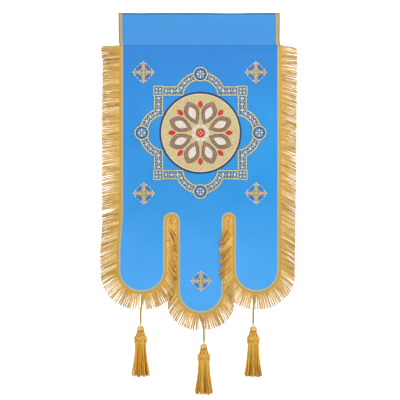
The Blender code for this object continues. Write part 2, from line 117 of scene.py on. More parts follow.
SPREAD_INSIDE, SPREAD_OUTSIDE = -0.120, -0.290
LEFT_SPREAD = 0.010


def eased(share):
    share = min(1.0, max(0.0, share))
    return share * share * (3 - 2 * share)


def cloth_depth(x, z):
    """How far the middle of the cloth stands back from the XZ plane, with its folds and creases."""
    depth = 0.0
    for fold in FOLDS + CREASES:
        slope = math.radians(fold.slope)
        along = (x - fold.x) * math.cos(slope) + (z - fold.z) * math.sin(slope)
        across = (z - fold.z) * math.cos(slope) - (x - fold.x) * math.sin(slope)
        depth += fold.depth * math.exp(-((along / fold.run) ** 2) - (across / fold.width) ** 2)
    return depth * eased((FOLDS_BEGIN - z) / (FOLDS_BEGIN - FOLDS_FULL))


def hang(x, z, depth):
    """A point of the flat cut, at this depth behind the cloth's middle, where it hangs."""
    lowered = eased((SPREAD_BEGINS - z) / (SPREAD_BEGINS - SPREAD_FULL))
    swing = lowered * eased((SPREAD_INSIDE - x) / (SPREAD_INSIDE - SPREAD_OUTSIDE))
    return Vector((x - LEFT_SPREAD * swing, cloth_depth(x, z) + depth, z))


def linear(hex_colour):
    """An sRGB colour such as 3A7BD5 as linear red, green, blue and alpha."""
    parts = [int(hex_colour[i : i + 2], 16) / 255 for i in (0, 2, 4)]
    return (*[p / 12.92 if p <= 0.04045 else ((p + 0.055) / 1.055) ** 2.4 for p in parts], 1.0)


def add_node(tree, kind, inputs=None, **settings):
    """Adds a node and sets it. An input takes a value, a socket, or a node, whose first output it gets."""
    node = tree.nodes.new(kind)
    for name, value in settings.items():
        setattr(node, name, value)
    for key, value in (inputs or {}).items():
        named = [socket for socket in node.inputs if socket.name == key and socket.enabled]
        socket = node.inputs[key] if isinstance(key, int) else named[0]
        if isinstance(value, bpy.types.Node):
            value = next(output for output in value.outputs if output.enabled)
        if isinstance(value, bpy.types.NodeSocket):
            tree.links.new(value, socket)
        else:
            socket.default_value = value
    return node


def new_material(name):
    """An empty material and its node tree."""
    made = bpy.data.materials.new(name)
    made.use_nodes = True
    made.node_tree.nodes.clear()
    return made, made.node_tree


WAVE_SCALE = 0.3183  # a wave texture of this scale has one band a unit, to about 1 %


def yarn_finish(name, dark, middle, light, turns_per_m, metallic):
    """Metallic yarn: metallised strips wound round a core, coloured from brown to pale gold: painted shade
    and glints, and tone that differs at random.
    """
    made, tree = new_material(name)
    where = add_node(tree, "ShaderNodeUVMap", uv_map="UVMap")
    tone = add_node(tree, "ShaderNodeAttribute", attribute_name="tone")
    spot = add_node(tree, "ShaderNodeTexCoord")
    # The glitter noise and each strand's tone paint bright glints and brown specks of shade into the yarn's
    # colour.
    glitter = add_node(tree, "ShaderNodeTexNoise", {
        "Vector": spot.outputs["Object"], "Scale": 420.0, "Detail": 2.0, "Roughness": 0.6})
    wound = add_node(tree, "ShaderNodeMapping", {"Vector": where, "Scale": (turns_per_m, 1.0, 1.0)})
    turns = add_node(tree, "ShaderNodeTexWave", {"Vector": wound, "Scale": WAVE_SCALE, "Distortion": 0.4},
                     bands_direction="DIAGONAL")
    mixed = add_node(tree, "ShaderNodeMath", {
        0: add_node(tree, "ShaderNodeMath", {0: tone.outputs["Fac"], 1: 0.62}, operation="MULTIPLY"),
        1: add_node(tree, "ShaderNodeMath", {0: glitter, 1: 0.42}, operation="MULTIPLY")}, operation="ADD")
    ramp = add_node(tree, "ShaderNodeValToRGB", {"Fac": mixed})
    stops = ramp.color_ramp.elements
    stops[0].position, stops[1].position = 0.16, 0.86
    stops[0].color, stops[1].color = linear(dark), linear(light)
    stops.new(0.50).color = linear(middle)
    bump = add_node(tree, "ShaderNodeBump", {"Height": turns, "Strength": 0.5, "Distance": 0.0004})
    shader = add_node(tree, "ShaderNodeBsdfPrincipled", {
        "Base Color": ramp, "Roughness": 0.42, "Metallic": metallic, "Normal": bump,
        "Sheen Weight": 0.15, "Sheen Roughness": 0.4})
    add_node(tree, "ShaderNodeOutputMaterial", {"Surface": shader})
    return made


def joined_rings(verts, gone, across, closed=False, capped=True, slant=0.0):
    """Rings of points joined into faces, whose corners have UVs of the distance along and the place across.

    gone gives each ring's distance along, and across each point's place in its ring, ending with the first.
    """
    size = len(across) - 1
    count = len(verts) // size
    faces, uvs = [], []
    for i in range(count if closed else count - 1):
        j = (i + 1) % count
        for k in range(size):
            m = (k + 1) % size
            faces.append((i * size + k, i * size + m, j * size + m, j * size + k))
            corners = ((gone[i], across[k]), (gone[i], across[k + 1]),
                       (gone[i + 1], across[k + 1]), (gone[i + 1], across[k]))
            uvs.append(tuple((u + slant * v, v) for u, v in corners))
    if capped and not closed:
        for start in (0, (count - 1) * size):
            faces.append(tuple(range(start, start + size)))
            uvs.append(((0.0, 0.5),) * size)
    return verts, faces, uvs


def tube(points, radius, sides, closed=False):
    """A round yarn along a path."""
    points = [Vector(p) for p in points]
    count = len(points)
    angles = [2 * math.pi * k / sides for k in range(sides)]
    across, verts, gone = None, [], [0.0]
    for i, point in enumerate(points):
        before = points[i - 1] if closed or i > 0 else point
        after = points[(i + 1) % count] if closed or i < count - 1 else point
        along = (after - before).normalized()
        if across is None:
            across = along.orthogonal()
        across = (across - along * across.dot(along)).normalized()
        up = along.cross(across)
        verts += [point + across * (radius * math.cos(a)) + up * (radius * math.sin(a)) for a in angles]
        gone.append(gone[-1] + (points[(i + 1) % count] - point).length)
    return joined_rings(verts, gone, [k / sides for k in range(sides + 1)], closed)


def twisted(points, profiles):
    """A cord hung along points in the XZ plane, with a profile of its own at each."""
    back = Vector((0, 1, 0))
    verts, gone = [], [0.0]
    befores, afters = points[:1] + points[:-1], points[1:] + points[-1:]
    for before, point, after, profile in zip(befores, points, afters, profiles, strict=True):
        across = (after - before).normalized().cross(back).normalized()
        verts += [point + across * x + back * y for x, y in profile]
        gone.append(gone[-1] + (after - point).length)
    size = len(profiles[0])
    return joined_rings(verts, gone, [k / size for k in range(size + 1)])


def add_piece(name, parts, finish, smooth=60):
    """Joins parts, each points, faces and corner UVs, into one piece of the object."""
    verts, faces, uvs, tones = [], [], [], []
    for number, (part_verts, part_faces, part_uvs) in enumerate(parts):
        start = len(verts)
        tones += [0.35 + 0.4 * ((number + 1) * 0.618 % 1)] * len(part_verts)
        verts += part_verts
        faces += [tuple(start + i for i in face) for face in part_faces]
        uvs += [corner for face in part_uvs for corner in face]
    mesh = bpy.data.meshes.new(name)
    mesh.from_pydata([tuple(v) for v in verts], [], faces)
    mesh.uv_layers.new(name="UVMap").data.foreach_set("uv", np.array(uvs, np.float32).ravel())
    mesh.attributes.new("tone", "FLOAT", "POINT").data.foreach_set("value", tones)
    maker = bmesh.new()
    maker.from_mesh(mesh)
    bmesh.ops.recalc_face_normals(maker, faces=maker.faces)
    maker.to_mesh(mesh)
    maker.free()
    mesh.shade_smooth()
    mesh.set_sharp_from_angle(angle=math.radians(smooth))
    mesh.materials.append(finish)
    piece = bpy.data.objects.new(name, mesh)
    bpy.context.scene.collection.objects.link(piece)
    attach(piece, "root")
    return piece


def heading_end(x):
    """The height of the heading's outer side at the end of the tongue that x is on."""
    left, right = SLOTS
    edges = (
        (-CLOTH_WIDTH / 2, left.middle - left.width / 2, SIDE_TONGUE_BOTTOM),
        (left.middle + left.width / 2, right.middle - right.width / 2, MIDDLE_TONGUE_BOTTOM),
        (right.middle + right.width / 2, CLOTH_WIDTH / 2, SIDE_TONGUE_BOTTOM),
    )
    start, end, bottom = next(edge for edge in edges if edge[0] < x < edge[1])
    radius = (end - start) / 2
    outer = radius + HEADING_REACH
    return bottom + radius - math.sqrt(outer**2 - (x - start - radius) ** 2)


def cord_root(tassel):
    """Where a tassel's cord leaves the banner: under the fringe heading, at the middle of its thickness."""
    height = heading_end(tassel.root_x) - CLEARANCE
    forward = CLOTH_THICKNESS / 2 + CLEARANCE + HEADING_THICKNESS / 2
    return Vector((tassel.root_x, cloth_depth(tassel.root_x, height) - forward, height))


# Metallised polyester over a cotton core: small bright flecks of painted glint between painted brown shade.
cord_gold = yarn_finish("twisted metallised cord", "5E4008", "B08428", "DCB860", 900.0, 0.10)

for name, tassel in TASSELS.items():
    top = cord_root(tassel)
    low = Vector((tassel.tassel_x, top.y, tassel.top_z + CLEARANCE))
    middle_line = []
    for step in range(CORD_STEPS + 1):
        share = step / CORD_STEPS
        aside = eased(share / CORD_STRAIGHT)
        middle_line.append(Vector((top.x + (low.x - top.x) * aside, top.y, top.z + (low.z - top.z) * share)))
    length = sum((b - a).length for a, b in zip(middle_line, middle_line[1:], strict=False))
    profiles = []
    for step in range(CORD_STEPS + 1):
        twist = step / CORD_STEPS * length / PLY_TWIST * 2 * math.pi
        profile = []
        for k in range(CORD_SIDES):
            angle = 2 * math.pi * k / CORD_SIDES
            hollow = PLY_HOLLOW * (1 - abs(math.sin(1.5 * (angle - twist))))  # three plies
            radius = CORD_DIAMETER / 2 * (1 - hollow)
            profile.append((radius * math.cos(angle), radius * math.sin(angle)))
        profiles.append(profile)
    cord = add_piece(f"cord_{name}", [twisted(middle_line, profiles)], cord_gold)
    sewn = []
    for side in (-1.0, -0.5, 0.5, 1.0):
        line = []
        for step in range(0, round(CORD_STEPS * SEWN_RUN * (0.5 + 0.5 * abs(side))) + 1, 2):
            share = step / CORD_STEPS
            parted = SEWN_SPREAD * (1 - eased(share / SEWN_SHARE))
            beside = SEWN_BESIDE * (1 - eased((share - PLIES_MEET) / (SEWN_RUN - PLIES_MEET)))
            away = side * (CORD_DIAMETER / 2 - SEWN_RADIUS + parted + beside)
            line.append(middle_line[step] + Vector((away, SEWN_FORWARD * (1 - 2 * abs(side)), 0)))
        sewn.append(tube(line, SEWN_RADIUS, SEWN_SIDES))
    ends = add_piece(f"cord_ends_{name}", sewn, cord_gold)
    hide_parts(f"tassel_cord_{name}")


# Panel
# The banner's body: one cut of blue satin on a firm backing, with three round-ended tongues.
# Polyester satin, woven with long floats, so that it has a broad soft shine and no visible weave.
OUTLINE_STEP = 0.008
OUTLINE_TURN = math.radians(5)
GRID_STEP = 0.0085
SATIN_THREAD = 0.0012  # drawn four times as coarse as real satin so that it shows


class Straight:
    """A straight stretch of the cloth's edge. Its outward side is on the right of its run."""

    def __init__(self, start, end):
        self.start = Vector(start)
        self.length = (Vector(end) - self.start).length
        self.along = (Vector(end) - self.start) / self.length
        self.most_step = OUTLINE_STEP

    def at(self, distance):
        return self.start + self.along * distance, Vector((self.along.y, -self.along.x))


class Round:
    """A round stretch: turn is +1 round a tongue's end, and -1 in the arch of a slot."""

    def __init__(self, left, right, height, turn):
        self.radius = (right - left) / 2
        self.centre = Vector((left + self.radius, height + turn * self.radius))
        self.turn = turn
        self.length = math.pi * self.radius
        self.most_step = OUTLINE_TURN * self.radius

    def at(self, distance):
        angle = math.pi + self.turn * distance / self.radius
        spoke = Vector((math.cos(angle), math.sin(angle)))
        return self.centre + spoke * self.radius, spoke * self.turn


def fringed_edge():
    """The stretches of the cloth's edge, down the left side, round tongues and slots, up the right side."""
    half = CLOTH_WIDTH / 2
    sides = [-half]
    for slot in SLOTS:
        sides += [slot.middle - slot.width / 2, slot.middle + slot.width / 2]
    sides.append(half)
    bottoms = (SIDE_TONGUE_BOTTOM, MIDDLE_TONGUE_BOTTOM, SIDE_TONGUE_BOTTOM)
    stretches = []
    above = (-half, SLEEVE_BOTTOM - CLEARANCE)
    for number, bottom in enumerate(bottoms):
        tongue = Round(sides[2 * number], sides[2 * number + 1], bottom, 1)
        stretches.append(Straight(above, (tongue.centre.x - tongue.radius, tongue.centre.y)))
        stretches.append(tongue)
        leaves = (tongue.centre.x + tongue.radius, tongue.centre.y)
        if number < len(SLOTS):
            arch = Round(sides[2 * number + 1], sides[2 * number + 2], SLOT_TOP, -1)
            stretches.append(Straight(leaves, (arch.centre.x - arch.radius, arch.centre.y)))
            stretches.append(arch)
            above = (arch.centre.x + arch.radius, arch.centre.y)
        else:
            stretches.append(Straight(leaves, (half, SLEEVE_BOTTOM - CLEARANCE)))
    return stretches


def inside(points, outline):
    """For each flat point, whether it lies inside a closed outline."""
    within = np.zeros(len(points), bool)
    for here, after in zip(outline, np.roll(outline, -1, axis=0), strict=True):
        spans = (here[1] > points[:, 1]) != (after[1] > points[:, 1])
        if spans.any():
            crossing = here[0] + (points[:, 1] - here[1]) / (after[1] - here[1]) * (after[0] - here[0])
            within ^= spans & (points[:, 0] < crossing)
    return within


def grid_inside(outline, step):
    """Points in staggered rows inside an outline, clear of its edge."""
    low, high = outline.min(axis=0), outline.max(axis=0)
    rows = [
        (low[0] + step * (column + 0.5 * (row % 2)), low[1] + step * (row + 0.5))
        for row in range(int((high[1] - low[1]) / step))
        for column in range(int((high[0] - low[0]) / step) + 1)
    ]
    points = np.array(rows)
    points = points[inside(points, outline)]
    near = np.full(len(points), np.inf)
    for corner in outline:
        near = np.minimum(near, np.hypot(*(points - corner).T))
    return points[near > 0.55 * step]


def hanging_sheet(outline, step, front, back):
    """A closed sheet over a flat outline, between two depths behind the cloth's middle."""
    flat = [Vector(p) for p in (*outline, *grid_inside(outline, step))]
    flat, _, triangles, _, _, _ = delaunay_2d_cdt(flat, [], [list(range(len(outline)))], 1, 1e-6)
    verts = [hang(p.x, p.y, front) for p in flat] + [hang(p.x, p.y, back) for p in flat]
    count = len(flat)
    faces = [tuple(t) for t in triangles] + [tuple(count + i for i in reversed(t)) for t in triangles]
    directed = {edge for t in triangles for edge in zip(t, [*t[1:], t[0]], strict=True)}
    faces += [(b, a, count + a, count + b) for a, b in sorted(directed) if (b, a) not in directed]
    uvs = [tuple((flat[i % count].x, flat[i % count].y) for i in face) for face in faces]
    return verts, faces, uvs


def satin_finish(name, colour, right, pale, shade):
    """Blue polyester satin: a broad soft shine from its long floats; a colour clouded at random, with painted
    light and shade.
    """
    made, tree = new_material(name)
    spot = add_node(tree, "ShaderNodeTexCoord").outputs["Object"]
    place = add_node(tree, "ShaderNodeSeparateXYZ", {"Vector": spot})
    cloud = add_node(tree, "ShaderNodeTexNoise", {
        "Vector": spot, "Scale": 5.0, "Detail": 3.0, "Roughness": 0.5})
    slub = add_node(tree, "ShaderNodeTexNoise", {
        "Vector": add_node(tree, "ShaderNodeMapping", {"Vector": spot, "Scale": (90.0, 90.0, 900.0)}),
        "Scale": 1.0, "Detail": 2.0})
    # Painted light: the cloth is painted paler lower down, where the tongues catch the light.
    lowered = add_node(tree, "ShaderNodeMapRange", {
        "Value": place.outputs["Z"], "From Min": -0.62, "From Max": -1.02}, interpolation_type="SMOOTHSTEP")
    # Painted shade: the colour turns duller upwards towards the sleeve's seam.
    seam_shade_mask = add_node(tree, "ShaderNodeMapRange", {
        "Value": place.outputs["Z"], "From Min": -0.42, "From Max": -0.13}, interpolation_type="SMOOTHSTEP")
    # Painted light: the colour is painted lighter towards the right.
    light_from_right = add_node(tree, "ShaderNodeMapRange", {
        "Value": place.outputs["X"], "From Min": -0.25, "From Max": 0.28})
    lit = add_node(tree, "ShaderNodeMix", {
        "Factor": light_from_right, "A": linear(colour), "B": linear(right)}, data_type="RGBA")
    clouded = add_node(tree, "ShaderNodeMath", {0: cloud, 1: lowered}, operation="ADD")
    paler = add_node(tree, "ShaderNodeMix", {
        "Factor": add_node(tree, "ShaderNodeMath", {
            0: add_node(tree, "ShaderNodeMath", {0: clouded, 1: -0.28}, operation="ADD"), 1: 0.80},
            operation="MULTIPLY"),
        "A": lit, "B": linear(pale)}, data_type="RGBA", clamp_factor=True)
    deeper = add_node(tree, "ShaderNodeMix", {"Factor": seam_shade_mask, "A": paler, "B": linear(shade)},
                      data_type="RGBA")
    thread = add_node(tree, "ShaderNodeTexWave", {
        "Vector": spot, "Scale": WAVE_SCALE / SATIN_THREAD, "Distortion": 0.5}, bands_direction="Z")
    height = add_node(tree, "ShaderNodeMath", {
        0: thread, 1: add_node(tree, "ShaderNodeMath", {0: slub, 1: 0.8}, operation="MULTIPLY")},
        operation="ADD")
    bump = add_node(tree, "ShaderNodeBump", {"Height": height, "Strength": 0.10, "Distance": 0.0003})
    shader = add_node(tree, "ShaderNodeBsdfPrincipled", {
        "Base Color": deeper, "Roughness": 0.55, "Normal": bump, "Sheen Weight": 0.12,
        "Sheen Roughness": 0.35, "Specular IOR Level": 0.35})
    add_node(tree, "ShaderNodeOutputMaterial", {"Surface": shader})
    return made


# Satin gives one broad highlight along its folds. This blue is painted lighter on the right and where the
# tongues catch the light, and painted duller towards the sleeve's seam.
panel_satin = satin_finish("blue polyester satin", "1A87D3", "1390DB", "43A3EC", "2480CF")

edge_stretches = fringed_edge()
half = CLOTH_WIDTH / 2
outline = [(-half, CLOTH_TOP)]
for stretch in edge_stretches:
    steps = max(1, round(stretch.length / stretch.most_step))
    outline += [tuple(stretch.at(stretch.length * step / steps)[0]) for step in range(steps)]
outline += [(half, SLEEVE_BOTTOM - CLEARANCE), (half, CLOTH_TOP)]
steps = round(CLOTH_WIDTH / OUTLINE_STEP)
outline += [(half - CLOTH_WIDTH * step / steps, CLOTH_TOP) for step in range(1, steps)]
outline = np.array(outline)
panel = add_piece(
    "panel_cloth", [hanging_sheet(outline, GRID_STEP, -CLOTH_THICKNESS / 2, CLOTH_THICKNESS / 2)],
    panel_satin, 40)
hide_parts("panel")


# Pole sleeve
# A doubled band of the same satin, open at both ends for a pole, sewn to the panel's top by one seam.
# A thin dark line of painted shade runs along its crown at the top edge.
SLEEVE_RADIUS = 0.012
SLEEVE_STEPS = 75
CROWN_STEPS = 16
LEG_STEPS = 12
Sag = namedtuple("Sag", "x run depth")
SAGS = (Sag(0.120, 0.060, 0.0012), Sag(-0.230, 0.040, 0.0006))
SLEEVE_ASIDE, ASIDE_RUN = 0.0038, 0.014  # above its seam the sleeve hangs this far to the left
SEAM_ABOVE, SEAM_INSET = 0.0035, 0.0145  # where the seam's stitches run above the edge, and where they stop
STITCH_PITCH, STITCH_LENGTH, STITCH_RADIUS = 0.0042, 0.0030, 0.00030


def sleeve_profile(out):
    """(y, z) points this far out from the sleeve's inner face, from its front leg over to its back leg."""
    leg = CLOTH_THICKNESS / 2 + CLEARANCE
    turn = -SLEEVE_RADIUS
    front = [(-(leg + out), SLEEVE_BOTTOM), (-(leg + out), CLOTH_TOP)]
    for step in range(LEG_STEPS - 1, 0, -1):
        share = step / LEG_STEPS
        spread = leg + (SLEEVE_RADIUS - leg) * (1 - eased(share))
        front.append((-(spread + out), turn + (CLOTH_TOP - turn) * share))
    crown = []
    for step in range(CROWN_STEPS + 1):
        angle = math.pi * step / CROWN_STEPS
        radius = SLEEVE_RADIUS + out
        crown.append((-radius * math.cos(angle), turn + radius * math.sin(angle)))
    return front + crown + [(-y, z) for y, z in reversed(front)]


def over_sleeve(left, right, steps, inner, outer):
    """A strip bent over the sleeve, between two widths and two distances from its inner face."""
    near, far = sleeve_profile(inner), sleeve_profile(outer)
    loop = near + far[::-1]
    round_loop = [0.0]
    for (y1, z1), (y2, z2) in zip(loop, loop[1:], strict=False):
        round_loop.append(round_loop[-1] + math.hypot(y2 - y1, z2 - z1))
    verts = []
    xs = [left + (right - left) * step / steps for step in range(steps + 1)]
    for x in xs:
        sag = sum(dip.depth * math.exp(-(((x - dip.x) / dip.run) ** 2)) for dip in SAGS)
        for y, z in loop:
            aside = SLEEVE_ASIDE * min(1.0, (z - SLEEVE_BOTTOM) / ASIDE_RUN)
            verts.append(Vector((x - aside, y, z - sag * eased((z - CLOTH_TOP) / 0.100))))
    verts, faces, uvs = joined_rings(verts, xs, round_loop + round_loop[-1:], capped=False)
    count = len(loop)
    for start in (0, steps * count):
        for i in range(count // 2 - 1):
            faces.append(tuple(start + k for k in (i, i + 1, count - 2 - i, count - 1 - i)))
            uvs.append(((xs[0], 0.0),) * 4)
    return verts, faces, uvs


# The same satin, painted lighter for the light that the band catches, with a dark line of painted shade at
# its crown.
sleeve_satin = satin_finish("blue satin of the sleeve", "378AD1", "3F94DC", "4096DC", "3C8FD6")
sleeve_tree = sleeve_satin.node_tree
sleeve_shader = sleeve_tree.nodes["Principled BSDF"]
plain_blue = sleeve_shader.inputs["Base Color"].links[0].from_socket
# Painted shade: a dark navy line along the crown at the sleeve's top.
crown_shade_mask = add_node(sleeve_tree, "ShaderNodeMapRange", {
    "Value": add_node(sleeve_tree, "ShaderNodeSeparateXYZ", {
        "Vector": add_node(sleeve_tree, "ShaderNodeTexCoord").outputs["Object"]}).outputs["Z"],
    "From Min": -0.0068, "From Max": -0.0036}, interpolation_type="SMOOTHSTEP")
crown_shaded = add_node(sleeve_tree, "ShaderNodeMix", {
    "Factor": crown_shade_mask.outputs[0], "A": plain_blue, "B": linear("16427E")}, data_type="RGBA")
sleeve_tree.links.new(crown_shaded.outputs[2], sleeve_shader.inputs["Base Color"])

sleeve = add_piece(
    "sleeve_cloth", [over_sleeve(-half, half, SLEEVE_STEPS, 0.0, CLOTH_THICKNESS)], sleeve_satin,
    50)
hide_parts("pole_sleeve")
profile = sleeve_profile(CLOTH_THICKNESS / 2)


def add_input(tree, label, kind, value=None):
    """Adds a named input to a Geometry Nodes tree."""
    socket = tree.interface.new_socket(label, in_out="INPUT", socket_type=kind)
    if value is not None:
        socket.default_value = value


def grown(name, path, tree, values):
    """Runs a Geometry Nodes tree on a path or on loose points and keeps the result as a plain mesh piece."""
    carrier = bpy.data.objects.new(name, path)
    bpy.context.scene.collection.objects.link(carrier)
    modifier = carrier.modifiers.new("grown", "NODES")
    modifier.node_group = tree
    for item in tree.interface.items_tree:
        if item.item_type == "SOCKET" and item.in_out == "INPUT" and item.name in values:
            modifier[item.identifier] = values[item.name]
    seen = carrier.evaluated_get(bpy.context.evaluated_depsgraph_get())
    mesh = bpy.data.meshes.new_from_object(seen)
    mesh.name = name
    carrier.modifiers.clear()
    carrier.data = mesh
    bpy.data.meshes.remove(path)
    if not mesh.materials or mesh.materials[0] is None:
        mesh.materials.clear()
        mesh.materials.append(values["Finish"])
    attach(carrier, "root")
    return carrier


def point_mesh(name, points, edges, attributes):
    """Points, joined by edges where they are a path, with a named value or vector for each point."""
    mesh = bpy.data.meshes.new(name)
    mesh.from_pydata([tuple(p) for p in points], edges, [])
    for label, values in attributes.items():
        if isinstance(values[0], float):
            mesh.attributes.new(label, "FLOAT", "POINT").data.foreach_set("value", values)
        else:
            flat = [part for value in values for part in value]
            mesh.attributes.new(label, "FLOAT_VECTOR", "POINT").data.foreach_set("vector", flat)
    return mesh


def stitch_tree():
    """Raised stitches: at each point a rounded pad, as long, wide and high as its own size says."""
    tree = bpy.data.node_groups.new("raised stitches", "GeometryNodeTree")
    add_input(tree, "Geometry", "NodeSocketGeometry")
    add_input(tree, "Sides", "NodeSocketInt", 12)
    add_input(tree, "Rings", "NodeSocketInt", 6)
    add_input(tree, "Finish", "NodeSocketMaterial")
    tree.interface.new_socket("Geometry", in_out="OUTPUT", socket_type="NodeSocketGeometry")
    given = add_node(tree, "NodeGroupInput")
    pad = add_node(tree, "GeometryNodeMeshUVSphere", {
        "Segments": given.outputs["Sides"], "Rings": given.outputs["Rings"], "Radius": 1.0})
    turn = add_node(tree, "GeometryNodeInputNamedAttribute", {"Name": "turn"}, data_type="FLOAT_VECTOR")
    size = add_node(tree, "GeometryNodeInputNamedAttribute", {"Name": "size"}, data_type="FLOAT_VECTOR")
    placed = add_node(tree, "GeometryNodeInstanceOnPoints", {
        "Points": given.outputs["Geometry"], "Instance": pad.outputs["Mesh"],
        "Rotation": turn.outputs["Attribute"], "Scale": size.outputs["Attribute"]})
    smooth = add_node(tree, "GeometryNodeSetShadeSmooth", {"Geometry": placed})
    real = add_node(tree, "GeometryNodeRealizeInstances", {"Geometry": smooth})
    finished = add_node(tree, "GeometryNodeSetMaterial", {
        "Geometry": real, "Material": given.outputs["Finish"]})
    add_node(tree, "NodeGroupOutput", {"Geometry": finished})
    return tree


# Polyester sewing thread in the cloth's own blue, so the seam hardly shows.
sewing_blue, sewing_tree = new_material("blue polyester sewing thread")
sewing_noise = add_node(sewing_tree, "ShaderNodeTexNoise", {
    "Vector": add_node(sewing_tree, "ShaderNodeTexCoord").outputs["Object"], "Scale": 900.0, "Detail": 2.0})
sewing_shade = add_node(sewing_tree, "ShaderNodeMix", {
    "Factor": sewing_noise, "A": linear("2C7BD0"), "B": linear("4A9AE8")}, data_type="RGBA")
sewing_shader = add_node(sewing_tree, "ShaderNodeBsdfPrincipled", {
    "Base Color": sewing_shade, "Roughness": 0.5, "Sheen Weight": 0.1})
add_node(sewing_tree, "ShaderNodeOutputMaterial", {"Surface": sewing_shader})

stitches = stitch_tree()
seam_y = -(CLOTH_THICKNESS / 2 + CLEARANCE + CLOTH_THICKNESS)
seam_points = []
for number in range(round((CLOTH_WIDTH - 2 * SEAM_INSET) / STITCH_PITCH)):
    along = -(CLOTH_WIDTH / 2 - SEAM_INSET) + STITCH_PITCH * (number + 0.5)
    for side in (-1, 1):
        seam_points.append((along, side * -seam_y, SLEEVE_BOTTOM + SEAM_ABOVE))
grown("sleeve_seam_stitches", point_mesh("seam", seam_points, [], {
    "turn": [(0.0, 0.0, 0.0)] * len(seam_points),
    "size": [(STITCH_LENGTH / 2, STITCH_RADIUS, STITCH_RADIUS)] * len(seam_points)}),
    stitches, {"Sides": 6, "Rings": 6, "Finish": sewing_blue})


# Sleeve braids
# Narrow woven gold braid, wrapped over each open end of the sleeve to stop it fraying.
# Metallised weft on a cotton warp, its outer selvedge coloured a darker, browner gold.
BRAID_THICKNESS, BRAID_REACH, BRAID_WIDTH = 0.001, 0.002, 0.0145


def braid_finish(name, pale, dark, rib, bands):
    """Woven gold braid: crosswise ribs of metallised weft. bands gives places across it and their colours."""
    made, tree = new_material(name)
    where = add_node(tree, "ShaderNodeUVMap", uv_map="UVMap")
    spot = add_node(tree, "ShaderNodeTexCoord")
    parts = add_node(tree, "ShaderNodeSeparateXYZ", {"Vector": where})
    ribs = add_node(tree, "ShaderNodeTexWave", {
        "Vector": where, "Scale": WAVE_SCALE / rib, "Distortion": 0.6, "Detail": 1.0}, bands_direction="X")
    glitter = add_node(tree, "ShaderNodeTexNoise", {
        "Vector": spot.outputs["Object"], "Scale": 260.0, "Detail": 2.0, "Roughness": 0.65})
    banded = add_node(tree, "ShaderNodeValToRGB", {"Fac": parts.outputs["Y"]})
    stops = banded.color_ramp.elements
    stops[0].position, stops[1].position = bands[0][0], bands[-1][0]
    stops[0].color, stops[1].color = linear(bands[0][1]), linear(bands[-1][1])
    for position, shade in bands[1:-1]:
        stops.new(position).color = linear(shade)
    darker = add_node(tree, "ShaderNodeMix", {
        "Factor": add_node(tree, "ShaderNodeMath", {0: glitter, 1: 0.55}, operation="MULTIPLY"),
        "A": banded, "B": linear(dark)}, data_type="RGBA")
    ribbed = add_node(tree, "ShaderNodeMix", {
        "Factor": add_node(tree, "ShaderNodeMath", {0: ribs, 1: 0.25}, operation="MULTIPLY"),
        "A": darker, "B": linear(pale)}, data_type="RGBA")
    bump = add_node(tree, "ShaderNodeBump", {"Height": ribs, "Strength": 0.5, "Distance": 0.0004})
    shader = add_node(tree, "ShaderNodeBsdfPrincipled", {
        "Base Color": ribbed, "Roughness": 0.45, "Metallic": 0.25, "Normal": bump, "Sheen Weight": 0.1})
    add_node(tree, "ShaderNodeOutputMaterial", {"Surface": shader})
    return made


def braid_over_sleeve(outer_x, inner_x):
    """The wrapped braid, with its UV running along it and across its width."""
    under = CLOTH_THICKNESS + CLEARANCE
    verts, faces, uvs = over_sleeve(outer_x, inner_x, 5, under, under + BRAID_THICKNESS)
    turned = []
    for face in uvs:
        turned.append(tuple((v, abs(u - outer_x) / abs(inner_x - outer_x)) for u, v in face))
    return verts, faces, turned


# Metallised braid: matt gold with a dull outer selvedge and a paler inner one.
sleeve_braid_gold = braid_finish(
    "woven metallised braid", "E2C68A", "8A6A34", 0.0016,
    ((0.0, "84725A"), (0.34, "987F54"), (0.46, "CCA558"), (0.80, "C6A566"), (1.0, "CDBF98")))
reach = half + BRAID_REACH
for name, side in (("left", -1), ("right", 1)):
    braid = add_piece(
        f"braid_{name}", [braid_over_sleeve(side * reach, side * (reach - BRAID_WIDTH))],
        sleeve_braid_gold, 50)
    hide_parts(f"sleeve_braid_{name}")


# Fringe heading
# The woven heading of the fringe, sewn flat round the whole fringed edge, with a pale band along its inside.
# Metallised yarn woven crosswise. It laps onto the satin by about 10 mm and carries the strands.
HEADING_STEP = 0.004
HEADING_ROOT = 0.0010  # the strands leave the heading this far inside its outer side
# The heading's section: places from its outer to its inner side, and its height there.
CROSS_SHARES = (0.0, 0.08, 0.20, 0.34, 0.48, 0.62, 0.70, 0.78, 0.90, 1.0)
CROSS_LIFTS = (0.25, 0.75, 0.55, 0.70, 0.55, 0.50, 0.40, 0.85, 0.95, 0.30)


def along_edge(step):
    """(point, outward, stretch number, share of the stretch) at even steps along the fringed edge."""
    found = []
    for number, stretch in enumerate(edge_stretches):
        steps = max(2, round(stretch.length / step))
        last = number == len(edge_stretches) - 1
        for i in range(steps + (1 if last else 0)):
            found.append((*stretch.at(stretch.length * i / steps), number, i / steps))
    return found


heading_gold = braid_finish(
    "woven metallised fringe heading", "E6C478", "9A6A22", 0.0024,
    ((0.0, "C39E46"), (0.48, "C3A04A"), (0.60, "BD963E"), (0.72, "C9BB84"), (1.0, "D2CEA6")))
heading_back = -CLOTH_THICKNESS / 2 - CLEARANCE
verts, gone = [], []
before = None
for point, outward, _, _ in along_edge(HEADING_STEP):
    outer = point + outward * HEADING_REACH
    inner = point - outward * HEADING_LAP
    for share, lift in zip(CROSS_SHARES, CROSS_LIFTS, strict=True):
        flat = outer.lerp(inner, share)
        verts.append(hang(flat.x, flat.y, heading_back - HEADING_THICKNESS * lift))
    for share in reversed(CROSS_SHARES):
        flat = outer.lerp(inner, share)
        verts.append(hang(flat.x, flat.y, heading_back))
    gone.append(gone[-1] + (point - before).length if gone else 0.0)
    before = point
across = [*CROSS_SHARES, *reversed(CROSS_SHARES), CROSS_SHARES[0]]
heading = add_piece("fringe_heading", [joined_rings(verts, gone, across)], heading_gold, 50)
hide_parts("fringe")


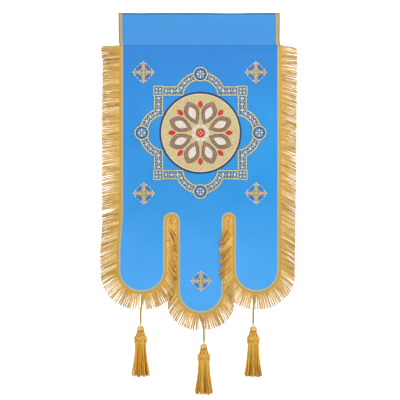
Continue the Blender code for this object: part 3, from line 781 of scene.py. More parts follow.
# Fringe strands
# Close-set strands of twisted metallised yarn, 62 mm long, looped through the heading and cut at their ends.
# They stand stiffly out from the upright sides, droop lower down, and cross over each other in the slots.
STRAND_PITCH = 0.00155
STRAND_RADIUS = 0.00078
CROSSING_BEGINS = 0.085  # below a slot's top, where strands from both its sides cross
COVERED_DENSITY = 0.85  # share of the back strands that stay where others cover them
STRAND_LENGTH = 0.0605
FORWARD, BACK = -0.0062, 0.0062
CORD_GAP = 0.0065  # no strand leaves the heading this near a tassel cord


def strand_tree():
    """Yarn strands grown from a path: evenly spaced, gathered in clumps, each straying a little by chance."""
    tree = bpy.data.node_groups.new("yarn strands", "GeometryNodeTree")
    add_input(tree, "Geometry", "NodeSocketGeometry")
    for label, value in (("Pitch", 0.002), ("Length", 0.06), ("Radius", 0.0008), ("Unevenness", 0.08),
                         ("Clump Size", 5.0), ("Clump Stray", 0.06), ("Stray", 0.03),
                         ("Clump Tone", 0.3), ("Wave", 0.0005), ("Depth Stray", 0.002)):
        add_input(tree, label, "NodeSocketFloat", value)
    for label, value in (("Steps", 7), ("Sides", 4), ("Seed", 1), ("Clump Seed", 1)):
        add_input(tree, label, "NodeSocketInt", value)
    add_input(tree, "Finish", "NodeSocketMaterial")
    tree.interface.new_socket("Geometry", in_out="OUTPUT", socket_type="NodeSocketGeometry")
    given = add_node(tree, "NodeGroupInput").outputs

    def number_of(kind, *inputs):
        return add_node(tree, "ShaderNodeMath", dict(enumerate(inputs)), operation=kind)

    def vector_of(kind, inputs):
        return add_node(tree, "ShaderNodeVectorMath", inputs, operation=kind)

    def read(label, kind):
        return add_node(tree, "GeometryNodeInputNamedAttribute", {"Name": label}, data_type=kind).outputs[0]

    def chance(low, high, key, shift, source="Seed"):
        seed = add_node(tree, "FunctionNodeIntegerMath", {0: given[source], 1: shift}, operation="ADD")
        return add_node(tree, "FunctionNodeRandomValue", {
            "Min": low, "Max": high, "ID": key, "Seed": seed}, data_type="FLOAT")

    def keep(geometry, label, kind, value, domain="POINT"):
        return add_node(tree, "GeometryNodeStoreNamedAttribute", {
            "Geometry": geometry, "Name": label, "Value": value}, data_type=kind, domain=domain)

    path = add_node(tree, "GeometryNodeMeshToCurve", {"Mesh": given["Geometry"]})
    roots = add_node(tree, "GeometryNodeResampleCurve", {
        "Curve": path, "Length": given["Pitch"]}, mode="LENGTH")
    roots = keep(roots, "side", "FLOAT_VECTOR", add_node(tree, "GeometryNodeInputTangent"))
    roots = keep(roots, "root", "FLOAT_VECTOR", add_node(tree, "GeometryNodeInputPosition"))
    roots = keep(roots, "number", "INT", add_node(tree, "GeometryNodeInputIndex"))
    line = add_node(tree, "GeometryNodeCurvePrimitiveLine", {"End": (0.0, 0.0, 1.0)})
    line = add_node(tree, "GeometryNodeResampleCurve", {"Curve": line, "Count": given["Steps"]}, mode="COUNT")
    planted = add_node(tree, "GeometryNodeInstanceOnPoints", {
        "Points": roots, "Selection": number_of("GREATER_THAN", read("density", "FLOAT"), chance(
            0.0, 1.0, read("number", "INT"), 10)),
        "Instance": line})
    real = add_node(tree, "GeometryNodeRealizeInstances", {"Geometry": planted})

    share = add_node(tree, "GeometryNodeSplineParameter").outputs["Factor"]
    number = read("number", "INT")
    clump = number_of("DIVIDE", number_of("ADD", number, chance(-0.6, 0.6, number, 11, "Clump Seed")),
                      given["Clump Size"])
    clump_number = number_of("FLOOR", clump)
    within = number_of("SUBTRACT", clump, clump_number)
    gather = read("gather", "FLOAT")
    tight = number_of("MULTIPLY", gather, chance(0.4, 1.3, clump_number, 12, "Clump Seed"))
    spread = number_of("MULTIPLY", number_of("SUBTRACT", 0.5, within), number_of(
        "MULTIPLY", tight, number_of("MULTIPLY", given["Pitch"], given["Clump Size"])))
    length = number_of("MULTIPLY", given["Length"], number_of(
        "SUBTRACT", read("reach", "FLOAT"), number_of(
            "MULTIPLY", given["Unevenness"], chance(0.0, 1.0, number, 13))))
    clump_stray = number_of("MULTIPLY", length, number_of(
        "MULTIPLY", number_of("MULTIPLY", given["Clump Stray"], gather),
        chance(-1.0, 1.0, clump_number, 14, "Clump Seed")))
    own_stray = number_of("MULTIPLY", length, number_of(
        "MULTIPLY", given["Stray"], chance(-1.0, 1.0, number, 15)))
    wave = number_of("MULTIPLY", given["Wave"], number_of("SINE", number_of(
        "ADD", number_of("MULTIPLY", share, chance(5.0, 11.0, number, 16)), chance(0.0, 6.28, number, 17))))
    aside = number_of("ADD", number_of("MULTIPLY", share, number_of(
        "ADD", spread, number_of("ADD", clump_stray, own_stray))), number_of("MULTIPLY", wave, share))
    bowed = number_of("MULTIPLY", share, share)
    outward = vector_of("SCALE", {
        0: read("grow", "FLOAT_VECTOR"), "Scale": number_of("MULTIPLY", length, share)})
    hung = vector_of("SCALE", {0: read("bend", "FLOAT_VECTOR"), "Scale": bowed})
    sideways = vector_of("SCALE", {0: read("side", "FLOAT_VECTOR"), "Scale": aside})
    lifted = vector_of("SCALE", {0: read("lift", "FLOAT_VECTOR"), "Scale": number_of(
        "MULTIPLY", number_of("MULTIPLY", given["Depth Stray"], chance(-1.0, 1.0, number, 18)), share)})
    place = vector_of("ADD", {
        0: vector_of("ADD", {0: read("root", "FLOAT_VECTOR"), 1: outward}),
        1: vector_of("ADD", {0: hung, 1: vector_of("ADD", {0: sideways, 1: lifted})})})
    shaped = add_node(tree, "GeometryNodeSetPosition", {"Geometry": real, "Position": place})
    own_tone = number_of("MULTIPLY", number_of("SUBTRACT", 1.0, given["Clump Tone"]),
                         chance(0.0, 1.0, number, 19))
    clump_tone = number_of("MULTIPLY", given["Clump Tone"], chance(0.0, 1.0, clump_number, 20, "Clump Seed"))
    shaped = keep(shaped, "tone", "FLOAT", number_of(
        "SUBTRACT", number_of("ADD", own_tone, clump_tone), read("shade", "FLOAT")))
    shaped = keep(shaped, "along", "FLOAT", number_of("MULTIPLY", share, length))
    ring = add_node(tree, "GeometryNodeCurvePrimitiveCircle", {
        "Resolution": given["Sides"], "Radius": given["Radius"]})
    ring = keep(ring.outputs["Curve"], "around", "FLOAT", add_node(
        tree, "GeometryNodeSplineParameter").outputs["Factor"])
    solid = add_node(tree, "GeometryNodeCurveToMesh", {
        "Curve": shaped, "Profile Curve": ring, "Fill Caps": True})
    solid = keep(solid, "UVMap", "FLOAT2", add_node(tree, "ShaderNodeCombineXYZ", {
        "X": read("along", "FLOAT"), "Y": read("around", "FLOAT")}), "CORNER")
    smooth = add_node(tree, "GeometryNodeSetShadeSmooth", {"Geometry": solid})
    plain = add_node(tree, "GeometryNodeRealizeInstances", {"Geometry": smooth})
    finished = add_node(tree, "GeometryNodeSetMaterial", {"Geometry": plain, "Material": given["Finish"]})
    add_node(tree, "NodeGroupOutput", {"Geometry": finished})
    return tree


def turned(vector, degrees):
    angle = math.radians(degrees)
    return Vector((vector.x * math.cos(angle) - vector.y * math.sin(angle),
                   vector.x * math.sin(angle) + vector.y * math.cos(angle)))


# The edge has eleven stretches, numbered down the left side, round each tongue and slot, and up the right.
LEFT_SIDE, RIGHT_SIDE = 0, 10
TONGUE_ENDS = (1, 5, 9)
SLOT_STRETCHES = (2, 3, 4, 6, 7, 8)
LEADING_SIDES = (2, 8)  # of each slot, the side whose back strands are covered by others
COMBED_SIDE, COMBED_TOP, COMBED_BOTTOM, COMBED_DROOP = 8, -0.82, -1.03, 26
SLOT_DROOP, DROOP_STRAY = 58, 11
DROOPS = (  # degrees below the edge's outward direction, at a share of each stretch
    lambda s: 2 + 24 * s**3,
    lambda s: 26 * (1 - 2 * s) ** 2 if s < 0.5 else SLOT_DROOP * (2 * s - 1) ** 2,
    lambda s: SLOT_DROOP,
    lambda s: SLOT_DROOP * abs(2 * s - 1),
    lambda s: SLOT_DROOP,
    lambda s: SLOT_DROOP * (2 * s - 1) ** 2,
    lambda s: SLOT_DROOP,
    lambda s: SLOT_DROOP * abs(2 * s - 1),
    lambda s: SLOT_DROOP,
    lambda s: SLOT_DROOP * (1 - 2 * s) ** 2 if s < 0.5 else 32 * (2 * s - 1) ** 2,
    lambda s: 32 - 24 * s - 16 * max(0.0, 6 * s - 5),
)
REACHES = {  # how long the strands of the left and right sides are, as a share of the common length
    0: lambda s: 1.05 + 0.07 * min(1.0, 3 * s) + (0.12 - 1.4 * s if s < 0.05 else 0.0),
    1: lambda s: 1.12 - 0.12 * min(1, 2 * s),
    9: lambda s: 1.0 + 0.03 * max(0, 2 * s - 1),
    10: lambda s: 1.03,
}
# How far the tips lean at the start and end of each stretch. Where two tongues' sides face each other in a
# slot, the strands of one hang in front of the other's.
LEANS = ((0, 0), (0, FORWARD), (FORWARD, FORWARD), (0, 0), (BACK, BACK), (BACK, BACK), (BACK, BACK), (0, 0),
         (FORWARD, FORWARD), (FORWARD, 0), (0, 0))
Parting = namedtuple("Parting", "height degrees")  # where the left side's strands are combed apart
PARTINGS = (Parting(-0.146, 5), Parting(-0.729, 8))
PARTING_REACH = 0.014
LOOSE_HEIGHT, LOOSE_REACH = -0.625, 0.055  # where they have drawn together in thin locks


def strand_path(name, layer, slots):
    """The path that strands leave the heading on, of the slots alone or of the rest. Layer 1 lies behind."""
    points = []
    given = {label: [] for label in ("grow", "bend", "reach", "lift", "density", "gather", "shade")}
    chance = random.Random(5 + layer)
    for point, outward, number, share in along_edge(HEADING_STEP):
        along = Vector((-outward.y, outward.x))
        root = point + outward * (HEADING_REACH - HEADING_ROOT) + along * (STRAND_PITCH / 2 * layer)
        depth = heading_back - HEADING_THICKNESS * (0.66 - 0.36 * layer)
        droop = DROOPS[number](share)
        in_slot = number in SLOT_STRETCHES
        # Painted shade: strands of layer 1, behind, are painted darker; in the slots the front strands are
        # painted lighter and those behind much darker.
        gather, shade = 0.85, 0.02 + 0.04 * layer
        if in_slot:
            droop += chance.uniform(-DROOP_STRAY, DROOP_STRAY)
            gather, shade = 0.25, -0.10 + 0.60 * layer
        elif number == LEFT_SIDE:
            loose = max(0.0, 1 - abs(root.y - LOOSE_HEIGHT) / LOOSE_REACH)
            gather = 0.30 + 0.30 * share + 0.60 * loose
            shade += 0.14 * max(0.0, 1 - 3 * share)
            for parting in PARTINGS:
                above = root.y - parting.height
                if abs(above) < PARTING_REACH:
                    droop -= math.copysign(parting.degrees * (1 - abs(above) / PARTING_REACH), above)
        elif number == RIGHT_SIDE:
            gather = 0.60
        if number == COMBED_SIDE and COMBED_BOTTOM < root.y < COMBED_TOP:
            droop -= COMBED_DROOP * abs(math.sin(root.y * 75))
        direction = turned(outward, -math.copysign(droop, outward.x))
        lean = LEANS[number][0] + (LEANS[number][1] - LEANS[number][0]) * share
        near_cord = number in TONGUE_ENDS and root.y < SLOT_TOP and any(
            abs(root.x - tassel.root_x) < CORD_GAP for tassel in TASSELS.values())
        covered = number in LEADING_SIDES and layer == 1 and root.y < SLOT_TOP - CROSSING_BEGINS
        points.append(hang(root.x, root.y, depth))
        given["grow"].append((direction.x, 0.0, direction.y))
        given["bend"].append((0.0, lean + 0.0012 * layer, -0.004 * abs(direction.x)))
        given["reach"].append(REACHES[number](share) if number in REACHES else 1.0)
        given["lift"].append((0.0, 1.0, 0.0))
        given["density"].append(0.0 if near_cord or in_slot != slots else COVERED_DENSITY if covered else 1.0)
        given["gather"].append(gather)
        given["shade"].append(shade)
    return point_mesh(name, points, [(i, i + 1) for i in range(len(points) - 1)], given)


# Metallised yarn in two tones, twisted: painted pale gold highlights and painted brown shade, over strands
# whose tone differs at random.
fringe_gold = yarn_finish("twisted metallised fringe yarn", "9C7424", "E3B44C", "FDEEB8", 700.0, 0.08)
# The same yarn where it is packed in the slots, painted a deeper gold: painted shade, as no light comes
# through from behind.
packed_gold = yarn_finish("packed metallised fringe yarn", "845604", "EDAE34", "FADC8C", 700.0, 0.08)
strands = strand_tree()
for name, layer, seed, finish in (
        ("fringe_front", 0, 3, fringe_gold), ("fringe_behind", 1, 8, fringe_gold),
        ("slot_fringe_front", 0, 3, packed_gold), ("slot_fringe_behind", 1, 8, packed_gold)):
    piece = grown(name, strand_path(name + "_path", layer, finish is packed_gold), strands, {
        "Pitch": STRAND_PITCH, "Length": STRAND_LENGTH, "Radius": STRAND_RADIUS,
        "Unevenness": 0.08, "Clump Size": 4.2, "Clump Stray": 0.020, "Clump Tone": 0.40,
        "Stray": 0.022, "Wave": 0.0006, "Depth Stray": 0.0022, "Steps": 7, "Sides": 5, "Seed": seed,
        "Clump Seed": 5, "Finish": finish})


# Medallion
# A round field of cream and gold filling stitches with a navy satin-stitched rim, and on it a plain rosette.
# Rayon and metallic thread, machine stitched through the cloth, so that each shape stands a little proud.
FACE = -CLOTH_THICKNESS / 2 - 0.0001  # depth of the embroidery's underside, just off the satin
STITCH_HEIGHT = 0.0008
MEDALLION_CENTRE = Vector((0.001, -0.448))
MEDALLION_RADIUS = 0.1540
RIM_WIDTH = 0.0070
PALE_RING_WIDTH = 0.0036
PETALS = 8
BAND_SHAPE = ((-0.5, 0.0), (-0.46, 0.55), (-0.30, 0.92), (0.0, 1.0), (0.30, 0.92), (0.46, 0.55), (0.5, 0.0))


def thread_finish(name, colour, light, dark, stitch, metallic=0.0):
    """Embroidery thread laid side by side: slanting stitches, each with a painted highlight on top of the
    silky sheen.
    """
    made, tree = new_material(name)
    where = add_node(tree, "ShaderNodeUVMap", uv_map="UVMap")
    spot = add_node(tree, "ShaderNodeTexCoord")
    laid = add_node(tree, "ShaderNodeTexWave", {
        "Vector": where, "Scale": WAVE_SCALE / stitch, "Distortion": 0.8, "Detail": 1.0},
        bands_direction="X")
    fleck = add_node(tree, "ShaderNodeTexNoise", {
        "Vector": spot.outputs["Object"], "Scale": 230.0, "Detail": 3.0, "Roughness": 0.6})
    # Painted highlight: the stitches' wave lightens the colour along each stitch, over flecks that differ at
    # random.
    ramp = add_node(tree, "ShaderNodeValToRGB", {"Fac": add_node(tree, "ShaderNodeMath", {
        0: fleck, 1: add_node(tree, "ShaderNodeMath", {0: laid, 1: 0.22}, operation="MULTIPLY")},
        operation="ADD")})
    stops = ramp.color_ramp.elements
    stops[0].position, stops[1].position = 0.30, 0.86
    stops[0].color, stops[1].color = linear(dark), linear(light)
    stops.new(0.58).color = linear(colour)
    bump = add_node(tree, "ShaderNodeBump", {"Height": laid, "Strength": 0.55, "Distance": 0.0003})
    shader = add_node(tree, "ShaderNodeBsdfPrincipled", {
        "Base Color": ramp, "Roughness": 0.42, "Metallic": metallic, "Normal": bump,
        "Sheen Weight": 0.2, "Sheen Roughness": 0.35})
    add_node(tree, "ShaderNodeOutputMaterial", {"Surface": shader})
    return made


def stitched_line(path, width, height, closed=False, lift=0.0):
    """A raised band of satin stitch along a flat path, standing on the cloth's face."""
    path = [Vector(p) for p in path]
    count = len(path)
    verts, gone = [], [0.0]
    for i, point in enumerate(path):
        before = path[i - 1] if closed or i > 0 else point
        after = path[(i + 1) % count] if closed or i < count - 1 else point
        along = (after - before).normalized()
        normal = Vector((along.y, -along.x))
        for across, up in BAND_SHAPE:
            flat = point + normal * across * width
            verts.append(hang(flat.x, flat.y, FACE - lift - up * height))
        gone.append(gone[-1] + (path[(i + 1) % count] - point).length)
    places = [across * width * 0.5 for across, _ in BAND_SHAPE + BAND_SHAPE[:1]]
    return joined_rings(verts, gone, places, closed, slant=1.0)


def stitched_patch(outline, height, turn=0.0, lift=0.0):
    """A raised patch of filling stitch inside a flat outline, whose stitches run at an angle in degrees."""
    outline = [Vector(p) for p in outline]
    centre = sum(outline, Vector((0, 0))) / len(outline)
    count = len(outline)
    verts, flats = [], []
    for scale, up in ((1.0, 0.0), (0.93, 0.75), (0.70, 1.0), (0.30, 1.0)):
        for p in outline:
            flat = centre + (p - centre) * scale
            flats.append(flat)
            verts.append(hang(flat.x, flat.y, FACE - lift - up * height))
    flats += [centre, centre]
    verts += [hang(centre.x, centre.y, FACE - lift - height), hang(centre.x, centre.y, FACE - lift)]
    faces = []
    for ring in range(3):
        for i in range(count):
            j = (i + 1) % count
            faces.append((ring * count + i, ring * count + j, (ring + 1) * count + j, (ring + 1) * count + i))
    for i in range(count):
        j = (i + 1) % count
        faces.append((3 * count + i, 3 * count + j, 4 * count))
        faces.append((j, i, 4 * count + 1))
    uvs = [tuple(tuple(turned(flats[i] - centre, -turn)) for i in face) for face in faces]
    return verts, faces, uvs


def circle(centre, radius, count, start=0.0):
    """Points round a flat circle."""
    return [Vector(centre) + turned(Vector((radius, 0)), start + 360 * i / count) for i in range(count)]


def leaf(centre, angle, inner, outer, half_width, count=9, belly=0.5):
    """The outline of a pointed leaf that grows away from a centre at an angle."""
    sides = []
    for side in (-1, 1):
        line = []
        for step in range(count + 1):
            share = step / count
            swell = math.sin(math.pi * share ** (math.log(0.5) / math.log(belly))) ** 0.8
            line.append(Vector((inner + (outer - inner) * share, side * half_width * swell)))
        sides.append(line)
    outline = sides[0] + sides[1][-2:0:-1]
    return [Vector(centre) + turned(p, angle) for p in outline]


# Rayon embroidery thread: a silky sheen, and a painted highlight that breaks up along each slanting stitch.
cream_thread = thread_finish("cream and gold rayon filling stitches", "C9B682", "DDD0A8", "AD965C", 0.0022)
navy_thread = thread_finish("navy rayon satin stitch", "0E2750", "1B4076", "081632", 0.0014)
pale_thread = thread_finish("pale gold rayon satin stitch", "C6C48E", "E4E2BC", "9C9460", 0.0014)
peach_thread = thread_finish("peach rayon satin stitch", "EBCFA5", "F6E6CC", "C8A070", 0.0014)
brown_thread = thread_finish("brown rayon filling stitches", "94705A", "B08E76", "6E4C38", 0.0020)
umber_thread = thread_finish("dark brown rayon outline", "4E3322", "6E4C38", "2E1C12", 0.0014)
ivory_thread = thread_finish("ivory rayon filling stitches", "DDD3C4", "F0EAE0", "BDAE98", 0.0020)
red_thread = thread_finish("red rayon filling stitches", "C4161C", "E03A34", "8E0E14", 0.0018)

field_radius = MEDALLION_RADIUS - RIM_WIDTH / 2
field = hanging_sheet(
    np.array([tuple(p) for p in circle(MEDALLION_CENTRE, field_radius, 90)]), 0.009,
    FACE - STITCH_HEIGHT * 0.6, FACE)
medallion = add_piece("medallion_field", [field], cream_thread, 40)
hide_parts("medallion_ground")
rim_line = circle(MEDALLION_CENTRE, MEDALLION_RADIUS - RIM_WIDTH / 2, 120)
add_piece("medallion_rim", [stitched_line(rim_line, RIM_WIDTH, STITCH_HEIGHT * 1.5, True)],
          navy_thread)
ring_radius = MEDALLION_RADIUS - RIM_WIDTH - PALE_RING_WIDTH / 2
add_piece("medallion_inner_ring", [stitched_line(
    circle(MEDALLION_CENTRE, ring_radius, 120), PALE_RING_WIDTH, STITCH_HEIGHT * 1.4, True)],
    peach_thread)

ROSETTE_LIFT = STITCH_HEIGHT * 0.6  # the rosette lies on the field's stitches
UPPER_LIFT = ROSETTE_LIFT + STITCH_HEIGHT * 0.9  # its hearts, veins and dots lie on the petals
Leaf = namedtuple("Leaf", "inner outer half_width steps belly")
PETAL_LEAF = Leaf(0.034, 0.124, 0.0275, 14, 0.58)
HEART_LEAF = Leaf(0.052, 0.106, 0.0150, 10, 0.56)
BUD_LEAF = Leaf(0.092, 0.122, 0.0092, 8, 0.50)
VEIN_SPREAD, VEIN_START, VEIN_RUN, VEIN_STEPS = 0.76, 0.048, 0.062, 8
CENTRE_RADIUS, IVORY_RADIUS, IVORY_WIDTH = 0.017, 0.0265, 0.0105

brown_parts, umber_parts, ivory_parts, red_parts, centre_parts = [], [], [], [], []
for petal in range(PETALS):
    angle = 360 * (petal + 0.5) / PETALS
    outer_leaf = leaf(MEDALLION_CENTRE, angle, *PETAL_LEAF)
    brown_parts.append(stitched_patch(outer_leaf, STITCH_HEIGHT, angle, ROSETTE_LIFT))
    umber_parts.append(stitched_line(outer_leaf, 0.0020, STITCH_HEIGHT * 1.2, True, ROSETTE_LIFT))
    heart = leaf(MEDALLION_CENTRE, angle, *HEART_LEAF)
    ivory_parts.append(stitched_patch(heart, STITCH_HEIGHT * 0.6, angle, UPPER_LIFT))
    umber_parts.append(stitched_line(heart, 0.0016, STITCH_HEIGHT * 0.7, True, UPPER_LIFT))
    for vein in (-VEIN_SPREAD, VEIN_SPREAD):
        spine = []
        for i in range(VEIN_STEPS + 1):
            bow = PETAL_LEAF.half_width * math.sin(math.pi * (0.22 + 0.66 * i / VEIN_STEPS))
            along = VEIN_START + VEIN_RUN * i / VEIN_STEPS
            spine.append(MEDALLION_CENTRE + turned(Vector((along, vein * bow)), angle))
        umber_parts.append(stitched_line(spine, 0.0012, STITCH_HEIGHT * 0.6, False, UPPER_LIFT))
    between = 360 * petal / PETALS
    bud = leaf(MEDALLION_CENTRE, between, *BUD_LEAF)
    red_parts.append(stitched_patch(bud, STITCH_HEIGHT, between, ROSETTE_LIFT))
    tip = MEDALLION_CENTRE + turned(Vector((0.130, 0)), between)
    centre_parts.append(stitched_patch(circle(tip, 0.0026, 10), STITCH_HEIGHT, 0, ROSETTE_LIFT))
red_parts.append(stitched_patch(
    circle(MEDALLION_CENTRE, CENTRE_RADIUS, 32), STITCH_HEIGHT * 1.2, 45, ROSETTE_LIFT))
ivory_parts.append(stitched_line(
    circle(MEDALLION_CENTRE, IVORY_RADIUS, 40), IVORY_WIDTH, STITCH_HEIGHT, True, ROSETTE_LIFT))
for spot in circle(MEDALLION_CENTRE, IVORY_RADIUS, PETALS):
    red_parts.append(stitched_patch(circle(spot, 0.0022, 10), STITCH_HEIGHT * 0.5, 0, UPPER_LIFT))
for radius, count in ((0.0185, 36), (0.0330, 44)):
    centre_parts.append(stitched_line(
        circle(MEDALLION_CENTRE, radius, count), 0.0024, STITCH_HEIGHT * 1.4, True, ROSETTE_LIFT))
for spot in circle(MEDALLION_CENTRE, 0.007, 4):
    centre_parts.append(stitched_patch(
        circle(spot, 0.0028, 10), STITCH_HEIGHT * 0.5, 0, ROSETTE_LIFT + STITCH_HEIGHT * 1.1))
for name, parts, finish in (
        ("rosette_petals", brown_parts, brown_thread), ("rosette_outlines", umber_parts, umber_thread),
        ("rosette_leaves", ivory_parts, ivory_thread), ("rosette_buds", red_parts, red_thread),
        ("rosette_dots", centre_parts, pale_thread)):
    add_piece(name, parts, finish)


# Frame
# The traditional interlaced frame round the medallion: a square with a round lobe on each side, a roundel on
# each lobe and a corner square. Pale gold satin stitch over navy, filled with a running vine of cream leaves.
FRAME_HALF, FRAME_BAND, FRAME_CORNER, CORNER_PROUD = 0.1745, 0.0355, 0.0405, 0.0032
LOBE_DISTANCE, LOBE_RADIUS, LOBE_BAND = 0.1335, 0.0965, 0.0325
ROUNDEL_DISTANCE, ROUNDEL_RADIUS = 0.220, 0.028
OUTLINE_WIDTH = 0.0050
SHADE_WIDTH = 0.0078
VINE_PITCH = 0.0215
LOW_STITCH = STITCH_HEIGHT * 0.35


def arc(centre, radius, start, end, steps):
    return [Vector(centre) + turned(Vector((radius, 0)), start + (end - start) * i / steps)
            for i in range(steps + 1)]


def about_centre(path, quarter, centre, flipped=False):
    """A path drawn for one side of a square form, turned to another side and put in place."""
    mirrored = [Vector((-p.x, p.y)) for p in path] if flipped else path
    return [turned(p, 90 * quarter) + centre for p in mirrored]


corner_in = FRAME_HALF + CORNER_PROUD - FRAME_CORNER
inset = OUTLINE_WIDTH / 2


def half_side(height, radius, end_angle):
    """A line from a corner square along the bar and up the lobe to its roundel, on the right of a side."""
    meets = math.sqrt(radius**2 - (height - LOBE_DISTANCE) ** 2)
    begins = math.degrees(math.asin((height - LOBE_DISTANCE) / radius))
    bar = [Vector((corner_in - (corner_in - meets) * i / 3, height)) for i in range(4)]
    return bar + arc((0, LOBE_DISTANCE), radius, begins, end_angle, 14)[1:]


def lobe_end(radius, reach):
    """The angle on a lobe's circle at which it comes within reach of the roundel's middle."""
    away = ROUNDEL_DISTANCE - LOBE_DISTANCE
    return 90 - math.degrees(math.acos((radius**2 + away**2 - reach**2) / (2 * radius * away)))


outer_line = half_side(FRAME_HALF - inset, LOBE_RADIUS - inset,
                       lobe_end(LOBE_RADIUS - inset, ROUNDEL_RADIUS - inset))
inner_radius = LOBE_RADIUS - LOBE_BAND + inset
inner_end = lobe_end(inner_radius, ROUNDEL_RADIUS - inset)
inner_line = half_side(FRAME_HALF - FRAME_BAND + inset, inner_radius, inner_end)
vine_radius = LOBE_RADIUS - LOBE_BAND / 2
vine_line = half_side(FRAME_HALF - FRAME_BAND / 2, vine_radius, lobe_end(vine_radius, ROUNDEL_RADIUS + 0.004))

pale_parts, shade_parts, ground_parts, knot_parts = [], [], [], []
vine_points = []
ovals, slips, petals_white, dots = [], [], [], []
for quarter in range(4):
    for flipped in (False, True):
        for line in (outer_line, inner_line):
            placed_line = about_centre(line, quarter, MEDALLION_CENTRE, flipped)
            pale_parts.append(stitched_line(placed_line, OUTLINE_WIDTH, STITCH_HEIGHT * 1.1))
            shade_parts.append(stitched_line(placed_line, SHADE_WIDTH, LOW_STITCH))
        route = about_centre(vine_line, quarter, MEDALLION_CENTRE, flipped)
        gone = [0.0]
        for a, b in zip(route, route[1:], strict=False):
            gone.append(gone[-1] + (b - a).length)
        count = round((gone[-1] - 0.004) / VINE_PITCH * 2)
        for number in range(count):
            distance = 0.008 + (gone[-1] - 0.012) * number / (count - 1)
            k = next(i for i in range(1, len(gone)) if gone[i] >= distance - 1e-9)
            spot = route[k - 1].lerp(route[k], (distance - gone[k - 1]) / (gone[k] - gone[k - 1]))
            direction = route[k] - route[k - 1]
            bearing = math.degrees(math.atan2(direction.y, direction.x))
            vine_points.append((spot, bearing, number % 2, flipped))
    corner_middle = FRAME_HALF + CORNER_PROUD - FRAME_CORNER / 2
    corner = turned(Vector((corner_middle, corner_middle)), 90 * quarter) + MEDALLION_CENTRE
    reach = FRAME_CORNER / 2 - inset
    square = [corner + turned(Vector((x * reach, y * reach)), 90 * quarter)
              for x, y in ((-1, -1), (0, -1), (1, -1), (1, 0), (1, 1), (0, 1), (-1, 1), (-1, 0))]
    pale_parts.append(stitched_line(square, OUTLINE_WIDTH, STITCH_HEIGHT * 1.2, True))
    shade_parts.append(stitched_line(square, SHADE_WIDTH, LOW_STITCH, True))
    ground_parts.append(stitched_patch(square, LOW_STITCH * 0.8))
    for x in (-1, 1):
        for y in (-1, 1):
            petals_white.append((corner + turned(Vector((x * 0.0068, y * 0.0068)), 90 * quarter),
                                 45 * x * y + 90 * quarter, 0.0052, 0.0042))
    knot = corner + turned(Vector((-reach, -reach)), 90 * quarter)
    knot_parts.append(stitched_patch(circle(knot, 0.0032, 12), STITCH_HEIGHT * 1.4))
    for side in (-1, 1):
        knot = MEDALLION_CENTRE + turned(Vector((side * 0.0285, ROUNDEL_DISTANCE - 0.006)), 90 * quarter)
        knot_parts.append(stitched_patch(circle(knot, 0.0030, 12), STITCH_HEIGHT * 1.3))
    roundel = turned(Vector((0, ROUNDEL_DISTANCE)), 90 * quarter) + MEDALLION_CENTRE
    roundel_rim = circle(roundel, ROUNDEL_RADIUS - inset, 40)
    pale_parts.append(stitched_line(roundel_rim, OUTLINE_WIDTH, STITCH_HEIGHT * 1.25, True))
    shade_parts.append(stitched_line(roundel_rim, SHADE_WIDTH, LOW_STITCH, True))
    shade_parts.append(stitched_line(circle(roundel, 0.0196, 36), 0.0020, STITCH_HEIGHT * 0.7, True))
    for step in range(4):
        petals_white.append((roundel + turned(Vector((0.0098, 0)), 90 * step), 90 * step, 0.0062, 0.0044))
        dots.append((roundel + turned(Vector((0.0118, 0)), 45 + 90 * step), 0, 0.0026, 0.0026))
    dots.append((roundel, 0, 0.0030, 0.0030))
for spot, angle, odd, flipped in vine_points:
    for side in (-1, 1):
        aside = side if flipped else -side
        if odd:
            slips.append((spot, angle + side * 38, 0.0086, 0.0013))
            petals_white.append((spot + turned(Vector((0.0012 * aside, 0.0086 * side)), angle),
                                 angle + 28 * aside, 0.0036, 0.0021))
        else:
            dots.append((spot + turned(Vector((0.0022 * aside, 0.0096 * side)), angle),
                         angle - 35 * aside, 0.0030, 0.0015))
    if not odd:
        ovals.append((spot, angle + 90 + (16 if flipped else -16), 0.0072, 0.0046))


def pads(name, rows, grow, height, lift, finish):
    """Many small raised pads from rows of (place, angle, half length, half width)."""
    points = [hang(p.x, p.y, FACE - lift) for p, _, _, _ in rows]
    return grown(name, point_mesh(name + "_points", points, [], {
        "turn": [(0.0, -math.radians(angle), 0.0) for _, angle, _, _ in rows],
        "size": [(long + grow, height, wide + grow) for _, _, long, wide in rows]}),
        stitches, {"Sides": 12, "Rings": 8, "Finish": finish})


# Thread colours of the frame: cream leaves with a painted cool white highlight, and tan and orange knots.
leaf_thread = thread_finish("cool white rayon leaf stitches", "C9D6DC", "EAF0F0", "86A8C6", 0.0014)
tan_thread = thread_finish("tan rayon satin stitch", "DDB87C", "EFD8AA", "B58C4C", 0.0014)
orange_thread = thread_finish("orange rayon satin stitch", "DC9458", "EEB98C", "AC6A36", 0.0014)
slate_thread = thread_finish("slate blue rayon filling stitches", "5C7E96", "86A2B0", "34506A", 0.0016)

outline_piece = add_piece("frame_outlines", pale_parts, pale_thread)
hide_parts("medallion_frame")
for name, parts, finish in (("frame_shading", shade_parts, navy_thread),
                            ("frame_grounds", ground_parts, slate_thread),
                            ("frame_knots", knot_parts, orange_thread)):
    add_piece(name, parts, finish)
leaves = ovals + slips + petals_white
pads("frame_vine_shade", leaves, 0.0021, STITCH_HEIGHT * 0.6, 0.0, navy_thread)
pads("frame_vine_leaves", leaves, 0.0, STITCH_HEIGHT * 0.8, LOW_STITCH, leaf_thread)
pads("frame_dots", dots, 0.0, STITCH_HEIGHT * 0.8, LOW_STITCH, tan_thread)


